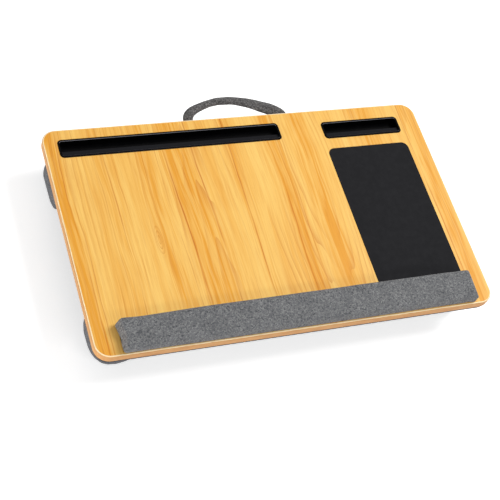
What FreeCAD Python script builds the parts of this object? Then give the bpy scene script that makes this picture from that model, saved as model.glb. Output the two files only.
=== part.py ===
"""Cushioned lap desk: a laminated board with two device slots, a mouse pad and a wrist rest,
carried on two bolsters, with a fabric carry strap hinged at its rear edge.

Millimetres. +X is the user's right, +Y is away from the user, +Z is up. The origin is on the
floor, under the middle of the whole desk with its strap.
"""
import FreeCAD
import Part
import math
import os

Vector = FreeCAD.Vector

OVERCUT = 1.0
LEVEL_TOLERANCE = 1e-4
LEAST_CORNER = 0.2

# ---- board -----------------------------------------------------------------------------------
BOARD_WIDTH = 560.0
BOARD_DEPTH = 342.0
BOARD_CORNER = 20.0
CORE_THICK = 10.4
LAMINATE_THICK = 0.8
BAND_THICK = 2.0
BAND_TOP_EASE = 1.3
BAND_BOTTOM_EASE = 0.8

# ---- device trays: moulded inserts in routed slots ---------------------------------------------
TABLET_LENGTH = 318.4
TABLET_FROM_LEFT = 19.4
TABLET_FROM_REAR = 17.1
PHONE_LENGTH = 123.0
PHONE_FROM_RIGHT = 33.4
PHONE_FROM_REAR = 22.4
TRAY_DEPTH = 29.2
TRAY_CORNER = 6.0
RIM_WIDTH = 3.0
RIM_HEIGHT = 1.0
RIM_EASE = 0.6
TRAY_WALL = 1.6
LEDGE_RUN = 8.0
LEDGE_TOP_DROP = 0.5
LEDGE_END_DROP = 3.0
GROOVE_DRAFT = 1.2
GROOVE_CORNER = 3.0
TRAY_WEB_THICK = 1.4
TRAY_WEB_PITCH = 56.0
CRUSH_RIB_WIDTH = 2.4
CRUSH_RIB_PITCH = 52.0
CRUSH_RIB_CLEAR = 0.1
SLOT_CLEAR = 0.5

# ---- mouse pad -----------------------------------------------------------------------------------
PAD_WIDTH = 127.0
PAD_CORNER = 10.0
PAD_FROM_RIGHT = 33.0
PAD_BEHIND_REST = 1.1
PAD_TO_PHONE_TRAY = 17.5
PAD_THICK = 1.0
PAD_GLUE_THICK = 0.2
PAD_CLEAR = 0.3

# ---- wrist rest ----------------------------------------------------------------------------------
REST_FROM_LEFT = 33.0
REST_FROM_RIGHT = 30.0
REST_FROM_FRONT = 3.4
REST_DEPTH = 39.8
REST_FRONT_HEIGHT = 14.0
REST_BACK_HEIGHT = 17.0
REST_ROUND = 3.6
REST_COVER_THICK = 1.2
REST_BASE_THICK = 2.0
REST_TAPE_THICK = 0.5
REST_TAPE_WIDTH = 22.0
REST_TAPE_LENGTH = 130.0
REST_TAPE_COUNT = 3
REST_TAPE_MARGIN = 14.0

# ---- cushion base: backing board wrapped in fabric -------------------------------------------------
BASE_INSET = 1.5
BASE_CORNER = 18.5
BACKING_THICK = 3.0
BASE_FABRIC_THICK = 1.0
HEM_THICK = 0.8
HEM_WIDTH = 26.0
STAPLE_CROWN = 10.0
STAPLE_WIRE = 0.6
STAPLE_LEG = 2.4
STAPLES_PER_LONG_SIDE = 4
STAPLES_PER_SHORT_SIDE = 2
STAPLE_FROM_HEM_EDGE = 9.0
STAPLE_FROM_END = 10.0
STAPLE_FROM_SIDE_END = 30.0
GLUE_STRIP_WIDTH = 14.0
GLUE_STRIP_COUNT = 5
GLUE_STRIP_MARGIN = 46.0

# ---- bolsters ----------------------------------------------------------------------------------------
BOLSTER_HEIGHT = 50.0
BOLSTER_SKIN = 1.4
BOLSTER_FOOT_INSET = 14.0
BOLSTER_SEAM_INSET = 9.0
BULGE_FROM_RATIO = 0.32
BULGE_TO_RATIO = 0.68
FRONT_BOLSTER_INSET = 4.0
FRONT_BOLSTER_FROM_FRONT = 16.0
FRONT_BOLSTER_DEPTH = 75.0
FRONT_BOLSTER_CORNER = 30.0
REAR_BOLSTER_INSET = 1.5
REAR_BOLSTER_FROM_FRONT = 236.0
REAR_BOLSTER_DEPTH = 93.0
REAR_BOLSTER_CORNER = 34.0

# ---- carry strap -------------------------------------------------------------------------------------
STRAP_SPAN = 142.0
STRAP_OFFSET = 3.0
STRAP_REACH = 45.0
STRAP_WEB_THICK = 2.2
STRAP_HINGE_BEHIND = 4.4
STRAP_HINGE_GAP = 0.3
STRAP_LEAD_IN = 8.0
STRAP_WEB_WIDTH = 11.0
SLEEVE_WIDTH = 13.6
SLEEVE_THICK = 7.6
SLEEVE_EASE = 2.2
SLEEVE_FROM_HINGE = 4.0
STRAP_END_WIDTH = 18.0
STRAP_END_LENGTH = 16.0
STRAP_POCKET_CLEAR = 1.0
STRAP_PLATE_THICK = 0.6
STRAP_PLATE_DEPTH = 12.0
SCREW_RADIUS = 1.6
SCREW_HEAD_RADIUS = 3.0
SCREW_HEAD_HEIGHT = 0.9
SCREW_LENGTH = 10.5
SCREW_FROM_REAR = 8.5
PILOT_CLEAR = 0.05

# Corners of the strap's route, rounded by arcs: place along the span (0 at the left root, 1 at the
# right one) and place between the rear edge and the crown's centre line (0 to 1).
STRAP_ROUTE_RATIOS = ((0.0, 0.47), (0.11, 0.75), (0.40, 1.05), (0.60, 0.97), (0.875, 0.60), (1.0, 0.36))
ROUTE_ROUNDING_RATIO = 0.45

# ---- places worked out from the sizes above --------------------------------------------------------
LEFT = -BOARD_WIDTH / 2
RIGHT = BOARD_WIDTH / 2
FRONT = -(BOARD_DEPTH + STRAP_REACH) / 2
REAR = FRONT + BOARD_DEPTH

BASE_FABRIC_Z = BOLSTER_HEIGHT
BACKING_Z = BASE_FABRIC_Z + BASE_FABRIC_THICK
HEM_Z = BACKING_Z + BACKING_THICK
BOARD_Z = HEM_Z + HEM_THICK
CORE_Z = BOARD_Z + LAMINATE_THICK
TOP_LAMINATE_Z = CORE_Z + CORE_THICK
TOP_Z = TOP_LAMINATE_Z + LAMINATE_THICK

HINGE_Y = REAR + STRAP_HINGE_BEHIND
HINGE_Z = BOARD_Z - STRAP_WEB_THICK / 2
PLATE_Z = BOARD_Z - STRAP_WEB_THICK - STRAP_PLATE_THICK
STRAP_LEFT_X = STRAP_OFFSET - STRAP_SPAN / 2
STRAP_RIGHT_X = STRAP_OFFSET + STRAP_SPAN / 2


# ---- shape helpers -----------------------------------------------------------------------------------
class Area:
    """An upright rectangle in plan, with rounded corners."""

    def __init__(self, x0, x1, y0, y1, corner):
        self.x0 = x0
        self.x1 = x1
        self.y0 = y0
        self.y1 = y1
        self.corner = corner

    def inset(self, gap):
        """The same area drawn in by gap on every side, or let out where gap is negative."""
        return Area(self.x0 + gap, self.x1 - gap, self.y0 + gap, self.y1 - gap,
                    max(self.corner - gap, LEAST_CORNER))

    def wire(self, z):
        """The closed outline at height z, counter-clockwise from the front side."""
        x0, x1, y0, y1, r = self.x0, self.x1, self.y0, self.y1, self.corner
        cut = r * (1 - math.sqrt(0.5))
        sides = (
            ((x0 + r, y0), (x1 - r, y0)),
            ((x1, y0 + r), (x1, y1 - r)),
            ((x1 - r, y1), (x0 + r, y1)),
            ((x0, y1 - r), (x0, y0 + r)),
        )
        middles = ((x1 - cut, y0 + cut), (x1 - cut, y1 - cut), (x0 + cut, y1 - cut), (x0 + cut, y0 + cut))
        edges = []
        for index, (start, end) in enumerate(sides):
            following = sides[(index + 1) % len(sides)][0]
            edges.append(Part.makeLine(Vector(*start, z), Vector(*end, z)))
            corner = (Vector(*end, z), Vector(*middles[index], z), Vector(*following, z))
            edges.append(Part.Arc(*corner).toShape())
        return Part.Wire(edges)

    def slab(self, z0, z1):
        """A plate of this outline from z0 up to z1."""
        return Part.Face(self.wire(z0)).extrude(Vector(0, 0, z1 - z0))


def block(x0, x1, y0, y1, z0, z1):
    """A plain box between two corners."""
    return Part.makeBox(x1 - x0, y1 - y0, z1 - z0, Vector(x0, y0, z0))


def prism_along_x(points, x0, x1):
    """A solid with the (y, z) polygon as its section, from x0 to x1."""
    corners = [Vector(x0, y, z) for y, z in points]
    return Part.Face(Part.makePolygon(corners + corners[:1])).extrude(Vector(x1 - x0, 0, 0))


def edges_at(shape, z):
    """Edges that lie wholly at height z."""
    return [edge for edge in shape.Edges
            if abs(edge.BoundBox.ZMin - z) < LEVEL_TOLERANCE and edge.BoundBox.ZLength < LEVEL_TOLERANCE]


def spread(first, last, count):
    """Count places evenly spaced from first to last, both included."""
    return [first + (last - first) * index / (count - 1) for index in range(count)]


def pattern(start, end, pitch):
    """Places at about the given pitch, centred between start and end."""
    count = max(int((end - start) // pitch), 1)
    step = (end - start) / count
    return [start + step * (index + 0.5) for index in range(count)]


def group(shapes):
    """Separate solids kept together in one node."""
    return Part.makeCompound(shapes)


# ---- places of the parts in plan ---------------------------------------------------------------------
BOARD_AREA = Area(LEFT, RIGHT, FRONT, REAR, BOARD_CORNER)
CORE_AREA = BOARD_AREA.inset(BAND_THICK)
TABLET_AREA = Area(LEFT + TABLET_FROM_LEFT, LEFT + TABLET_FROM_LEFT + TABLET_LENGTH,
                   REAR - TABLET_FROM_REAR - TRAY_DEPTH, REAR - TABLET_FROM_REAR, TRAY_CORNER)
PHONE_AREA = Area(RIGHT - PHONE_FROM_RIGHT - PHONE_LENGTH, RIGHT - PHONE_FROM_RIGHT,
                  REAR - PHONE_FROM_REAR - TRAY_DEPTH, REAR - PHONE_FROM_REAR, TRAY_CORNER)
PAD_AREA = Area(RIGHT - PAD_FROM_RIGHT - PAD_WIDTH, RIGHT - PAD_FROM_RIGHT,
                FRONT + REST_FROM_FRONT + REST_DEPTH + PAD_BEHIND_REST, PHONE_AREA.y0 - PAD_TO_PHONE_TRAY,
                PAD_CORNER)
BASE_AREA = Area(LEFT + BASE_INSET, RIGHT - BASE_INSET, FRONT + BASE_INSET, REAR - BASE_INSET, BASE_CORNER)
BACKING_AREA = BASE_AREA.inset(BASE_FABRIC_THICK)
FRONT_BOLSTER_AREA = Area(LEFT + FRONT_BOLSTER_INSET, RIGHT - FRONT_BOLSTER_INSET,
                          FRONT + FRONT_BOLSTER_FROM_FRONT,
                          FRONT + FRONT_BOLSTER_FROM_FRONT + FRONT_BOLSTER_DEPTH, FRONT_BOLSTER_CORNER)
REAR_BOLSTER_AREA = Area(LEFT + REAR_BOLSTER_INSET, RIGHT - REAR_BOLSTER_INSET,
                         FRONT + REAR_BOLSTER_FROM_FRONT,
                         FRONT + REAR_BOLSTER_FROM_FRONT + REAR_BOLSTER_DEPTH, REAR_BOLSTER_CORNER)


# ---- board -------------------------------------------------------------------------------------------
def slot_cutter(tray_area):
    """The routed slot that a tray drops into: its outer walls with the slot's clearance."""
    return tray_area.inset(RIM_WIDTH - TRAY_WALL - SLOT_CLEAR).slab(CORE_Z, TOP_Z + RIM_HEIGHT)


def make_top_panel():
    """The fibreboard core, with the two slots and the strap screws' pilot holes."""
    core = CORE_AREA.slab(CORE_Z, TOP_LAMINATE_Z)
    core = core.cut([slot_cutter(TABLET_AREA), slot_cutter(PHONE_AREA)])
    return core.cut(pilot_holes())


def make_top_laminate():
    """The decorative sheet, cut out at the slots and round the mouse pad."""
    sheet = CORE_AREA.slab(TOP_LAMINATE_Z, TOP_Z)
    pad_hole = PAD_AREA.inset(-PAD_CLEAR).slab(TOP_LAMINATE_Z - OVERCUT, TOP_Z + OVERCUT)
    return sheet.cut([slot_cutter(TABLET_AREA), slot_cutter(PHONE_AREA), pad_hole])


def make_bottom_laminate():
    """The plain balancing sheet under the core, pierced for the strap screws."""
    return CORE_AREA.slab(BOARD_Z, CORE_Z).cut(pilot_holes())


def make_edge_band():
    """The band round the board's edge, eased at its top and bottom corners."""
    band = BOARD_AREA.slab(BOARD_Z, TOP_Z)
    band = band.makeChamfer(BAND_TOP_EASE, edges_at(band, TOP_Z))
    band = band.makeChamfer(BAND_BOTTOM_EASE, edges_at(band, BOARD_Z))
    return band.cut(CORE_AREA.slab(BOARD_Z - OVERCUT, TOP_Z + OVERCUT))


# ---- device trays ------------------------------------------------------------------------------------
def tray_groove(area, grow):
    """The drafted groove of a tray, let out by grow on every side and below."""
    opening = area.inset(RIM_WIDTH)
    top = Area(opening.x0, opening.x1, opening.y0 + LEDGE_RUN, opening.y1, GROOVE_CORNER).inset(-grow)
    floor_z = CORE_Z + TRAY_WALL - grow
    return Part.makeLoft([top.inset(GROOVE_DRAFT).wire(floor_z), top.wire(TOP_Z)], True, True)


def tray_ledge(area, grow):
    """The sloping ledge in front of the groove: the room above it, or with grow its outside."""
    opening = area.inset(RIM_WIDTH - grow)
    front = opening.y0
    back = area.y0 + RIM_WIDTH + LEDGE_RUN + GROOVE_DRAFT
    lift = RIM_HEIGHT + OVERCUT if grow == 0 else 0
    room = prism_along_x(((front, TOP_Z + lift), (front, TOP_Z - LEDGE_TOP_DROP - grow),
                          (back, TOP_Z - LEDGE_END_DROP - grow), (back, TOP_Z + lift)),
                         opening.x0, opening.x1)
    return room.common(opening.slab(CORE_Z, TOP_Z + RIM_HEIGHT + OVERCUT))


def tray_webs(area):
    """Webs that stiffen the ledge from below, between it and the slot's floor."""
    opening = area.inset(RIM_WIDTH)
    y0 = opening.y0 - TRAY_WALL
    y1 = opening.y0 + LEDGE_RUN
    webs = []
    for x in pattern(opening.x0, opening.x1, TRAY_WEB_PITCH):
        webs.append(block(x - TRAY_WEB_THICK / 2, x + TRAY_WEB_THICK / 2, y0, y1,
                          CORE_Z, TOP_Z - LEDGE_END_DROP - TRAY_WALL / 2))
    return webs


def tray_crush_ribs(area):
    """Small upright ribs on the rear wall that wedge the tray in its slot."""
    wall = area.y1 - RIM_WIDTH + TRAY_WALL
    face = wall + SLOT_CLEAR - CRUSH_RIB_CLEAR
    inside = wall - TRAY_WALL / 2
    ribs = []
    for x in pattern(area.x0 + TRAY_CORNER, area.x1 - TRAY_CORNER, CRUSH_RIB_PITCH):
        ribs.append(prism_along_x(((face, TOP_Z), (face, CORE_Z + CORE_THICK / 2),
                                   (inside - GROOVE_DRAFT, CORE_Z + TRAY_WALL), (inside, TOP_Z)),
                                  x - CRUSH_RIB_WIDTH / 2, x + CRUSH_RIB_WIDTH / 2))
    return ribs


def tray_mouth(area):
    """The opening through the rim, eased at its upper edge."""
    opening = Area(area.x0 + RIM_WIDTH, area.x1 - RIM_WIDTH, area.y0 + RIM_WIDTH, area.y1 - RIM_WIDTH,
                   GROOVE_CORNER)
    rim_z = TOP_Z + RIM_HEIGHT
    flare = Part.makeLoft([opening.wire(rim_z - RIM_EASE), opening.inset(-RIM_EASE).wire(rim_z)], True, True)
    return opening.slab(TOP_Z, rim_z).fuse(flare)


def make_tray(area):
    """One moulded tray: rim, sloping ledge, drafted groove, webs and crush ribs."""
    rim = area.slab(TOP_Z, TOP_Z + RIM_HEIGHT)
    rim = rim.makeChamfer(RIM_EASE, edges_at(rim, TOP_Z + RIM_HEIGHT))
    body = rim.fuse([tray_groove(area, TRAY_WALL), tray_ledge(area, TRAY_WALL)])
    body = body.fuse(tray_webs(area) + tray_crush_ribs(area))
    return body.cut([tray_groove(area, 0), tray_ledge(area, 0), tray_mouth(area)]).removeSplitter()


# ---- mouse pad ---------------------------------------------------------------------------------------
def make_mouse_pad():
    """The pad itself, set in the laminate's cut-out."""
    base = TOP_LAMINATE_Z + PAD_GLUE_THICK
    return PAD_AREA.slab(base, base + PAD_THICK)


def make_mouse_pad_adhesive():
    """The film that holds the pad on the core."""
    return PAD_AREA.slab(TOP_LAMINATE_Z, TOP_LAMINATE_Z + PAD_GLUE_THICK)


# ---- wrist rest --------------------------------------------------------------------------------------
def rest_form(inset, base_z):
    """The wrist rest's wedge, drawn in by inset, from base_z up."""
    x0 = LEFT + REST_FROM_LEFT + inset
    x1 = RIGHT - REST_FROM_RIGHT - inset
    y0 = FRONT + REST_FROM_FRONT + inset
    y1 = FRONT + REST_FROM_FRONT + REST_DEPTH - inset
    wedge = prism_along_x(((y0, base_z), (y0, TOP_Z + REST_FRONT_HEIGHT - inset),
                           (y1, TOP_Z + REST_BACK_HEIGHT - inset), (y1, base_z)), x0, x1)
    long_top = [edge for edge in wedge.Edges
                if edge.BoundBox.ZMin > base_z + REST_ROUND and edge.BoundBox.XLength > REST_DEPTH]
    return wedge.makeFillet(REST_ROUND - inset, long_top)


def rest_inside(z0, z1):
    """The room inside the rest's cover between two heights."""
    form = rest_form(REST_COVER_THICK, TOP_Z)
    box = form.BoundBox
    return form.common(block(box.XMin, box.XMax, box.YMin, box.YMax, z0, z1))


def make_wrist_rest_cover():
    """The fabric skin over the wrist rest, open below."""
    return rest_form(0, TOP_Z).cut(rest_form(REST_COVER_THICK, TOP_Z))


def make_wrist_rest_base():
    """The stiff strip that the foam and the cover are fixed to."""
    z0 = TOP_Z + REST_TAPE_THICK
    return rest_inside(z0, z0 + REST_BASE_THICK)


def make_wrist_rest_core():
    """The foam between the strip and the cover."""
    return rest_inside(TOP_Z + REST_TAPE_THICK + REST_BASE_THICK, TOP_Z + REST_BACK_HEIGHT)


def make_wrist_rest_tapes():
    """The double-sided tapes that hold the rest on the board."""
    x0 = LEFT + REST_FROM_LEFT + REST_TAPE_MARGIN
    x1 = RIGHT - REST_FROM_RIGHT - REST_TAPE_MARGIN - REST_TAPE_LENGTH
    y0 = FRONT + REST_FROM_FRONT + (REST_DEPTH - REST_TAPE_WIDTH) / 2
    y1 = y0 + REST_TAPE_WIDTH
    return group([block(x, x + REST_TAPE_LENGTH, y0, y1, TOP_Z, TOP_Z + REST_TAPE_THICK)
                  for x in spread(x0, x1, REST_TAPE_COUNT)])


# ---- cushion base ------------------------------------------------------------------------------------
def strap_pockets():
    """Notches in the cushion base's rear edge, where the strap's ends lie."""
    half = STRAP_END_WIDTH / 2 + STRAP_POCKET_CLEAR
    depth = STRAP_END_LENGTH + STRAP_POCKET_CLEAR
    return [block(x - half, x + half, REAR - depth, REAR, BACKING_Z, BOARD_Z)
            for x in (STRAP_LEFT_X, STRAP_RIGHT_X)]


def staple(x, y, along_x):
    """One staple, its crown on the hem and its legs in the backing board."""
    half = STAPLE_CROWN / 2
    wire = STAPLE_WIRE / 2
    crown_z = BOARD_Z - STAPLE_WIRE
    if along_x:
        crown = block(x - half, x + half, y - wire, y + wire, crown_z, BOARD_Z)
        legs = [block(end - wire, end + wire, y - wire, y + wire, crown_z - STAPLE_LEG, crown_z)
                for end in (x - half + wire, x + half - wire)]
    else:
        crown = block(x - wire, x + wire, y - half, y + half, crown_z, BOARD_Z)
        legs = [block(x - wire, x + wire, end - wire, end + wire, crown_z - STAPLE_LEG, crown_z)
                for end in (y - half + wire, y + half - wire)]
    return crown.fuse(legs).removeSplitter()


def staple_list():
    """Staples along all four sides of the hem."""
    line = BACKING_AREA.inset(HEM_WIDTH - STAPLE_FROM_HEM_EDGE)
    staples = []
    for x in spread(line.x0 + STAPLE_FROM_END, line.x1 - STAPLE_FROM_END, STAPLES_PER_LONG_SIDE):
        staples.append(staple(x, line.y0, True))
        staples.append(staple(x, line.y1, True))
    for y in spread(line.y0 + STAPLE_FROM_SIDE_END, line.y1 - STAPLE_FROM_SIDE_END, STAPLES_PER_SHORT_SIDE):
        staples.append(staple(line.x0, y, False))
        staples.append(staple(line.x1, y, False))
    return staples


def make_hem_staples():
    """All the hem's staples as one group."""
    return group(staple_list())


def make_backing_board():
    """The thin hardboard that stiffens the cushion."""
    return BACKING_AREA.slab(BACKING_Z, HEM_Z).cut(strap_pockets() + staple_list())


def make_base_fabric():
    """The fabric under the backing board, turned up round its edge and hemmed on top."""
    wrap = BASE_AREA.slab(BASE_FABRIC_Z, BOARD_Z)
    inside = BACKING_AREA.slab(BACKING_Z, HEM_Z)
    window = BACKING_AREA.inset(HEM_WIDTH).slab(HEM_Z, BOARD_Z)
    return wrap.cut([inside, window] + strap_pockets() + staple_list())


def make_glue_strips():
    """Strips of set glue between the backing board and the underside of the board."""
    area = BACKING_AREA.inset(GLUE_STRIP_MARGIN)
    half = GLUE_STRIP_WIDTH / 2
    return group([block(x - half, x + half, area.y0, area.y1, HEM_Z, BOARD_Z)
                  for x in spread(area.x0 + half, area.x1 - half, GLUE_STRIP_COUNT)])


# ---- bolsters ----------------------------------------------------------------------------------------
def bolster_form(area, skin):
    """A full bolster between the floor and the base fabric, drawn in by the skin's thickness.

    Each level is a share of the height, with how far the outline is drawn in there.
    """
    levels = ((0, BOLSTER_FOOT_INSET), (BULGE_FROM_RATIO, 0), (BULGE_TO_RATIO, 0), (1, BOLSTER_SEAM_INSET))
    tall = BOLSTER_HEIGHT - skin
    return Part.makeLoft([area.inset(pull + skin).wire(skin + tall * share) for share, pull in levels],
                         True, True)


def make_bolster_cover(area):
    """The fabric skin of a bolster, its open top sewn to the base fabric."""
    return bolster_form(area, 0).cut(bolster_form(area, BOLSTER_SKIN))


def make_bolster_fill(area):
    """The bead filling of a bolster, full up to the base fabric."""
    return bolster_form(area, BOLSTER_SKIN)


# ---- carry strap -------------------------------------------------------------------------------------
def strap_path():
    """The strap's centre line behind the hinge: runs joined by tangent arcs, led in past the hinge."""
    crown = STRAP_REACH - SLEEVE_WIDTH / 2
    corners = [Vector(STRAP_LEFT_X, HINGE_Y - STRAP_LEAD_IN, HINGE_Z)]
    corners += [Vector(STRAP_LEFT_X + STRAP_SPAN * along, REAR + crown * out, HINGE_Z)
                for along, out in STRAP_ROUTE_RATIOS]
    corners.append(Vector(STRAP_RIGHT_X, HINGE_Y - STRAP_LEAD_IN, HINGE_Z))
    edges = []
    reached = corners[0]
    for before, corner, after in zip(corners, corners[1:], corners[2:]):
        back = (before - corner).normalize()
        ahead = (after - corner).normalize()
        cut = ROUTE_ROUNDING_RATIO * min(before.distanceToPoint(corner), after.distanceToPoint(corner))
        half_turn = (math.pi - back.getAngle(ahead)) / 2
        radius = cut / math.tan(half_turn)
        inward = (back + ahead).normalize()
        middle = corner + inward * (radius / math.cos(half_turn) - radius)
        start = corner + back * cut
        end = corner + ahead * cut
        edges.append(Part.makeLine(reached, start))
        edges.append(Part.Arc(start, middle, end).toShape())
        reached = end
    edges.append(Part.makeLine(reached, corners[-1]))
    return Part.Wire(edges)


def strap_sweep(width, thick, ease):
    """A flat bar with its four edges eased, swept along the strap's path."""
    half_width = width / 2
    half_thick = thick / 2
    quarter = [(half_width, ease - half_thick), (half_width, half_thick - ease)]
    if ease:
        quarter = [(half_width - ease, -half_thick)] + quarter + [(half_width - ease, half_thick)]
    outline = quarter + [(-across, up) for across, up in reversed(quarter)]
    corners = [Vector(STRAP_LEFT_X + across, HINGE_Y - STRAP_LEAD_IN, HINGE_Z + up) for across, up in outline]
    return strap_path().makePipe(Part.Face(Part.makePolygon(corners + corners[:1])))


def ahead_of(y):
    """Room in front of the plane at y, wide enough for the whole strap."""
    return block(STRAP_LEFT_X - STRAP_END_WIDTH, STRAP_RIGHT_X + STRAP_END_WIDTH,
                 HINGE_Y - 2 * STRAP_LEAD_IN, y, HINGE_Z - SLEEVE_THICK, HINGE_Z + SLEEVE_THICK)


def make_strap_core():
    """The webbing of the carry strap, its two roots rounded about the hinge line."""
    barrel = Part.makeCylinder(STRAP_WEB_THICK / 2, STRAP_SPAN + 2 * STRAP_END_WIDTH,
                               Vector(STRAP_LEFT_X - STRAP_END_WIDTH, HINGE_Y, HINGE_Z), Vector(1, 0, 0))
    webbing = strap_sweep(STRAP_WEB_WIDTH, STRAP_WEB_THICK, 0)
    return webbing.cut(ahead_of(HINGE_Y).cut(barrel))


def make_strap_sleeve():
    """The padded fabric sleeve round the webbing."""
    sleeve = strap_sweep(SLEEVE_WIDTH, SLEEVE_THICK, SLEEVE_EASE)
    return sleeve.cut([strap_sweep(STRAP_WEB_WIDTH, STRAP_WEB_THICK, 0),
                       ahead_of(HINGE_Y + SLEEVE_FROM_HINGE)])


def screw_places():
    """The screws that hold the strap's two ends: (x, y) of each."""
    return [(x, REAR - SCREW_FROM_REAR) for x in (STRAP_LEFT_X, STRAP_RIGHT_X)]


def screw_solid(x, y):
    """One low-headed screw, its head up against the plate's underside."""
    head = Part.makeCylinder(SCREW_HEAD_RADIUS, SCREW_HEAD_HEIGHT, Vector(x, y, PLATE_Z - SCREW_HEAD_HEIGHT))
    return head.fuse(Part.makeCylinder(SCREW_RADIUS, SCREW_LENGTH, Vector(x, y, PLATE_Z)))


def pilot_holes():
    """Holes that the strap screws' shanks fill, from the plates up into the core."""
    return [Part.makeCylinder(SCREW_RADIUS + PILOT_CLEAR, SCREW_LENGTH, Vector(x, y, PLATE_Z))
            for x, y in screw_places()]


def make_strap_screws():
    """The strap's two screws."""
    return group([screw_solid(x, y) for x, y in screw_places()])


def make_strap_end(x):
    """One sewn end of the strap, flat under the board and just clear of the hinge line."""
    half = STRAP_END_WIDTH / 2
    y1 = HINGE_Y - STRAP_WEB_THICK / 2 - STRAP_HINGE_GAP
    tab = block(x - half, x + half, REAR - STRAP_END_LENGTH, y1, BOARD_Z - STRAP_WEB_THICK, BOARD_Z)
    return tab.cut(pilot_holes())


def make_strap_plates():
    """The steel plates that spread the screws' load over the strap's ends."""
    half = STRAP_END_WIDTH / 2
    middle = REAR - SCREW_FROM_REAR
    return group([block(x - half, x + half, middle - STRAP_PLATE_DEPTH / 2, middle + STRAP_PLATE_DEPTH / 2,
                        PLATE_Z, PLATE_Z + STRAP_PLATE_THICK).cut(pilot_holes())
                  for x in (STRAP_LEFT_X, STRAP_RIGHT_X)])


# ---- the desk ----------------------------------------------------------------------------------------
def build_nodes():
    """Every sub-part by its node's name."""
    return {
        "top_panel": make_top_panel(),
        "top_laminate": make_top_laminate(),
        "bottom_laminate": make_bottom_laminate(),
        "edge_band": make_edge_band(),
        "tablet_tray": make_tray(TABLET_AREA),
        "phone_tray": make_tray(PHONE_AREA),
        "mouse_pad": make_mouse_pad(),
        "mouse_pad_adhesive": make_mouse_pad_adhesive(),
        "wrist_rest_cover": make_wrist_rest_cover(),
        "wrist_rest_core": make_wrist_rest_core(),
        "wrist_rest_base": make_wrist_rest_base(),
        "wrist_rest_tapes": make_wrist_rest_tapes(),
        "backing_board": make_backing_board(),
        "base_fabric": make_base_fabric(),
        "hem_staples": make_hem_staples(),
        "glue_strips": make_glue_strips(),
        "front_bolster_cover": make_bolster_cover(FRONT_BOLSTER_AREA),
        "front_bolster_fill": make_bolster_fill(FRONT_BOLSTER_AREA),
        "rear_bolster_cover": make_bolster_cover(REAR_BOLSTER_AREA),
        "rear_bolster_fill": make_bolster_fill(REAR_BOLSTER_AREA),
        "strap_sleeve": make_strap_sleeve(),
        "strap_core": make_strap_core(),
        "left_strap_end": make_strap_end(STRAP_LEFT_X),
        "right_strap_end": make_strap_end(STRAP_RIGHT_X),
        "strap_plates": make_strap_plates(),
        "strap_screws": make_strap_screws(),
    }


os.makedirs("parts", exist_ok=True)
for node, shape in build_nodes().items():
    shape.exportStep("parts/" + node + ".step")
    box = shape.BoundBox
    print(f"{node:22s} solids {len(shape.Solids)}  valid {shape.isValid()}  volume {shape.Volume:12.1f}  "
          f"x {box.XMin:8.2f} {box.XMax:8.2f}  y {box.YMin:8.2f} {box.YMax:8.2f}  z {box.ZMin:7.2f} {box.ZMax:7.2f}")
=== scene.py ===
"""A cushioned lap desk, finished for rendering round its solid frame.

The board, trays, mouse pad and metal parts keep their solids and are given their materials. The
wrist rest, both bolsters, the cushion's base cover and the carry strap are made here in fabric.
Metres: +X to the user's right, +Y away from the user, +Z up, the origin on the floor.
"""
import logging
import math
from dataclasses import dataclass
from enum import Enum
from functools import partial, reduce
from typing import Callable, Sequence, Union

import bpy
import numpy as np
from mathutils import Euler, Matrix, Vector, noise


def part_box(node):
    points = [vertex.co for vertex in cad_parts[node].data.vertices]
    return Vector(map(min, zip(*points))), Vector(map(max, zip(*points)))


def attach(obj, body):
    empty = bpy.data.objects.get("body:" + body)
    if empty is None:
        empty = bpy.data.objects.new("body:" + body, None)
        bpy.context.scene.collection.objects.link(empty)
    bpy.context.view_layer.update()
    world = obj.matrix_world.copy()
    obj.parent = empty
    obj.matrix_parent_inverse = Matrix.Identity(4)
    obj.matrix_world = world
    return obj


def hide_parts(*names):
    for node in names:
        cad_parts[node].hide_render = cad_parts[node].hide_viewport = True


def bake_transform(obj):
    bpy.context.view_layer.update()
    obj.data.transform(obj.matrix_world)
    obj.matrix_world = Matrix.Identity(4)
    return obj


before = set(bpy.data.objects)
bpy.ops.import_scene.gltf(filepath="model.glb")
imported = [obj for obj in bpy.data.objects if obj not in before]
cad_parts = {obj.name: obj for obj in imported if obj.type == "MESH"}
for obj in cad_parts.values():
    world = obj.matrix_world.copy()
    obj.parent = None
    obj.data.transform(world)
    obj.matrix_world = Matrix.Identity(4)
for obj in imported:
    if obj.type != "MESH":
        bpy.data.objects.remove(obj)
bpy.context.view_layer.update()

MM = 0.001
LOG = logging.getLogger("lap_desk")

Colour = tuple[float, float, float, float]
Triple = tuple[float, float, float]
Pair = tuple[float, float]
Socket = bpy.types.NodeSocket
Value = Union[Socket, float, tuple]
PlaceTest = Callable[[Vector, Vector], bool]
Rule = Callable[[Vector, Vector], Vector]

BLACK: Colour = (0.0, 0.0, 0.0, 1.0)
WHITE: Colour = (1.0, 1.0, 1.0, 1.0)
FULL_LEVEL = 255

# An edge runs along an axis if its direction has more than the first share of it, and across it if
# it has less than the second.
ALONG_AXIS = 0.9
ACROSS_AXIS = 0.5
UPRIGHT = 2
NEAR = 1.0 * MM
PLACE_DIGITS = 6
TINY = 1e-9


def srgb(red: float, green: float, blue: float) -> Colour:
    """Turns a display colour into the linear one that shaders take.

    Args:
        red: Red, 0 to 255.
        green: Green, 0 to 255.
        blue: Blue, 0 to 255.

    Returns:
        Linear red, green and blue, with full alpha.
    """

    def linear(level: float) -> float:
        """Undoes the sRGB standard's curve for one level."""
        share = level / FULL_LEVEL
        return share / 12.92 if share <= 0.04045 else ((share + 0.055) / 1.055) ** 2.4

    return (linear(red), linear(green), linear(blue), 1.0)


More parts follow.
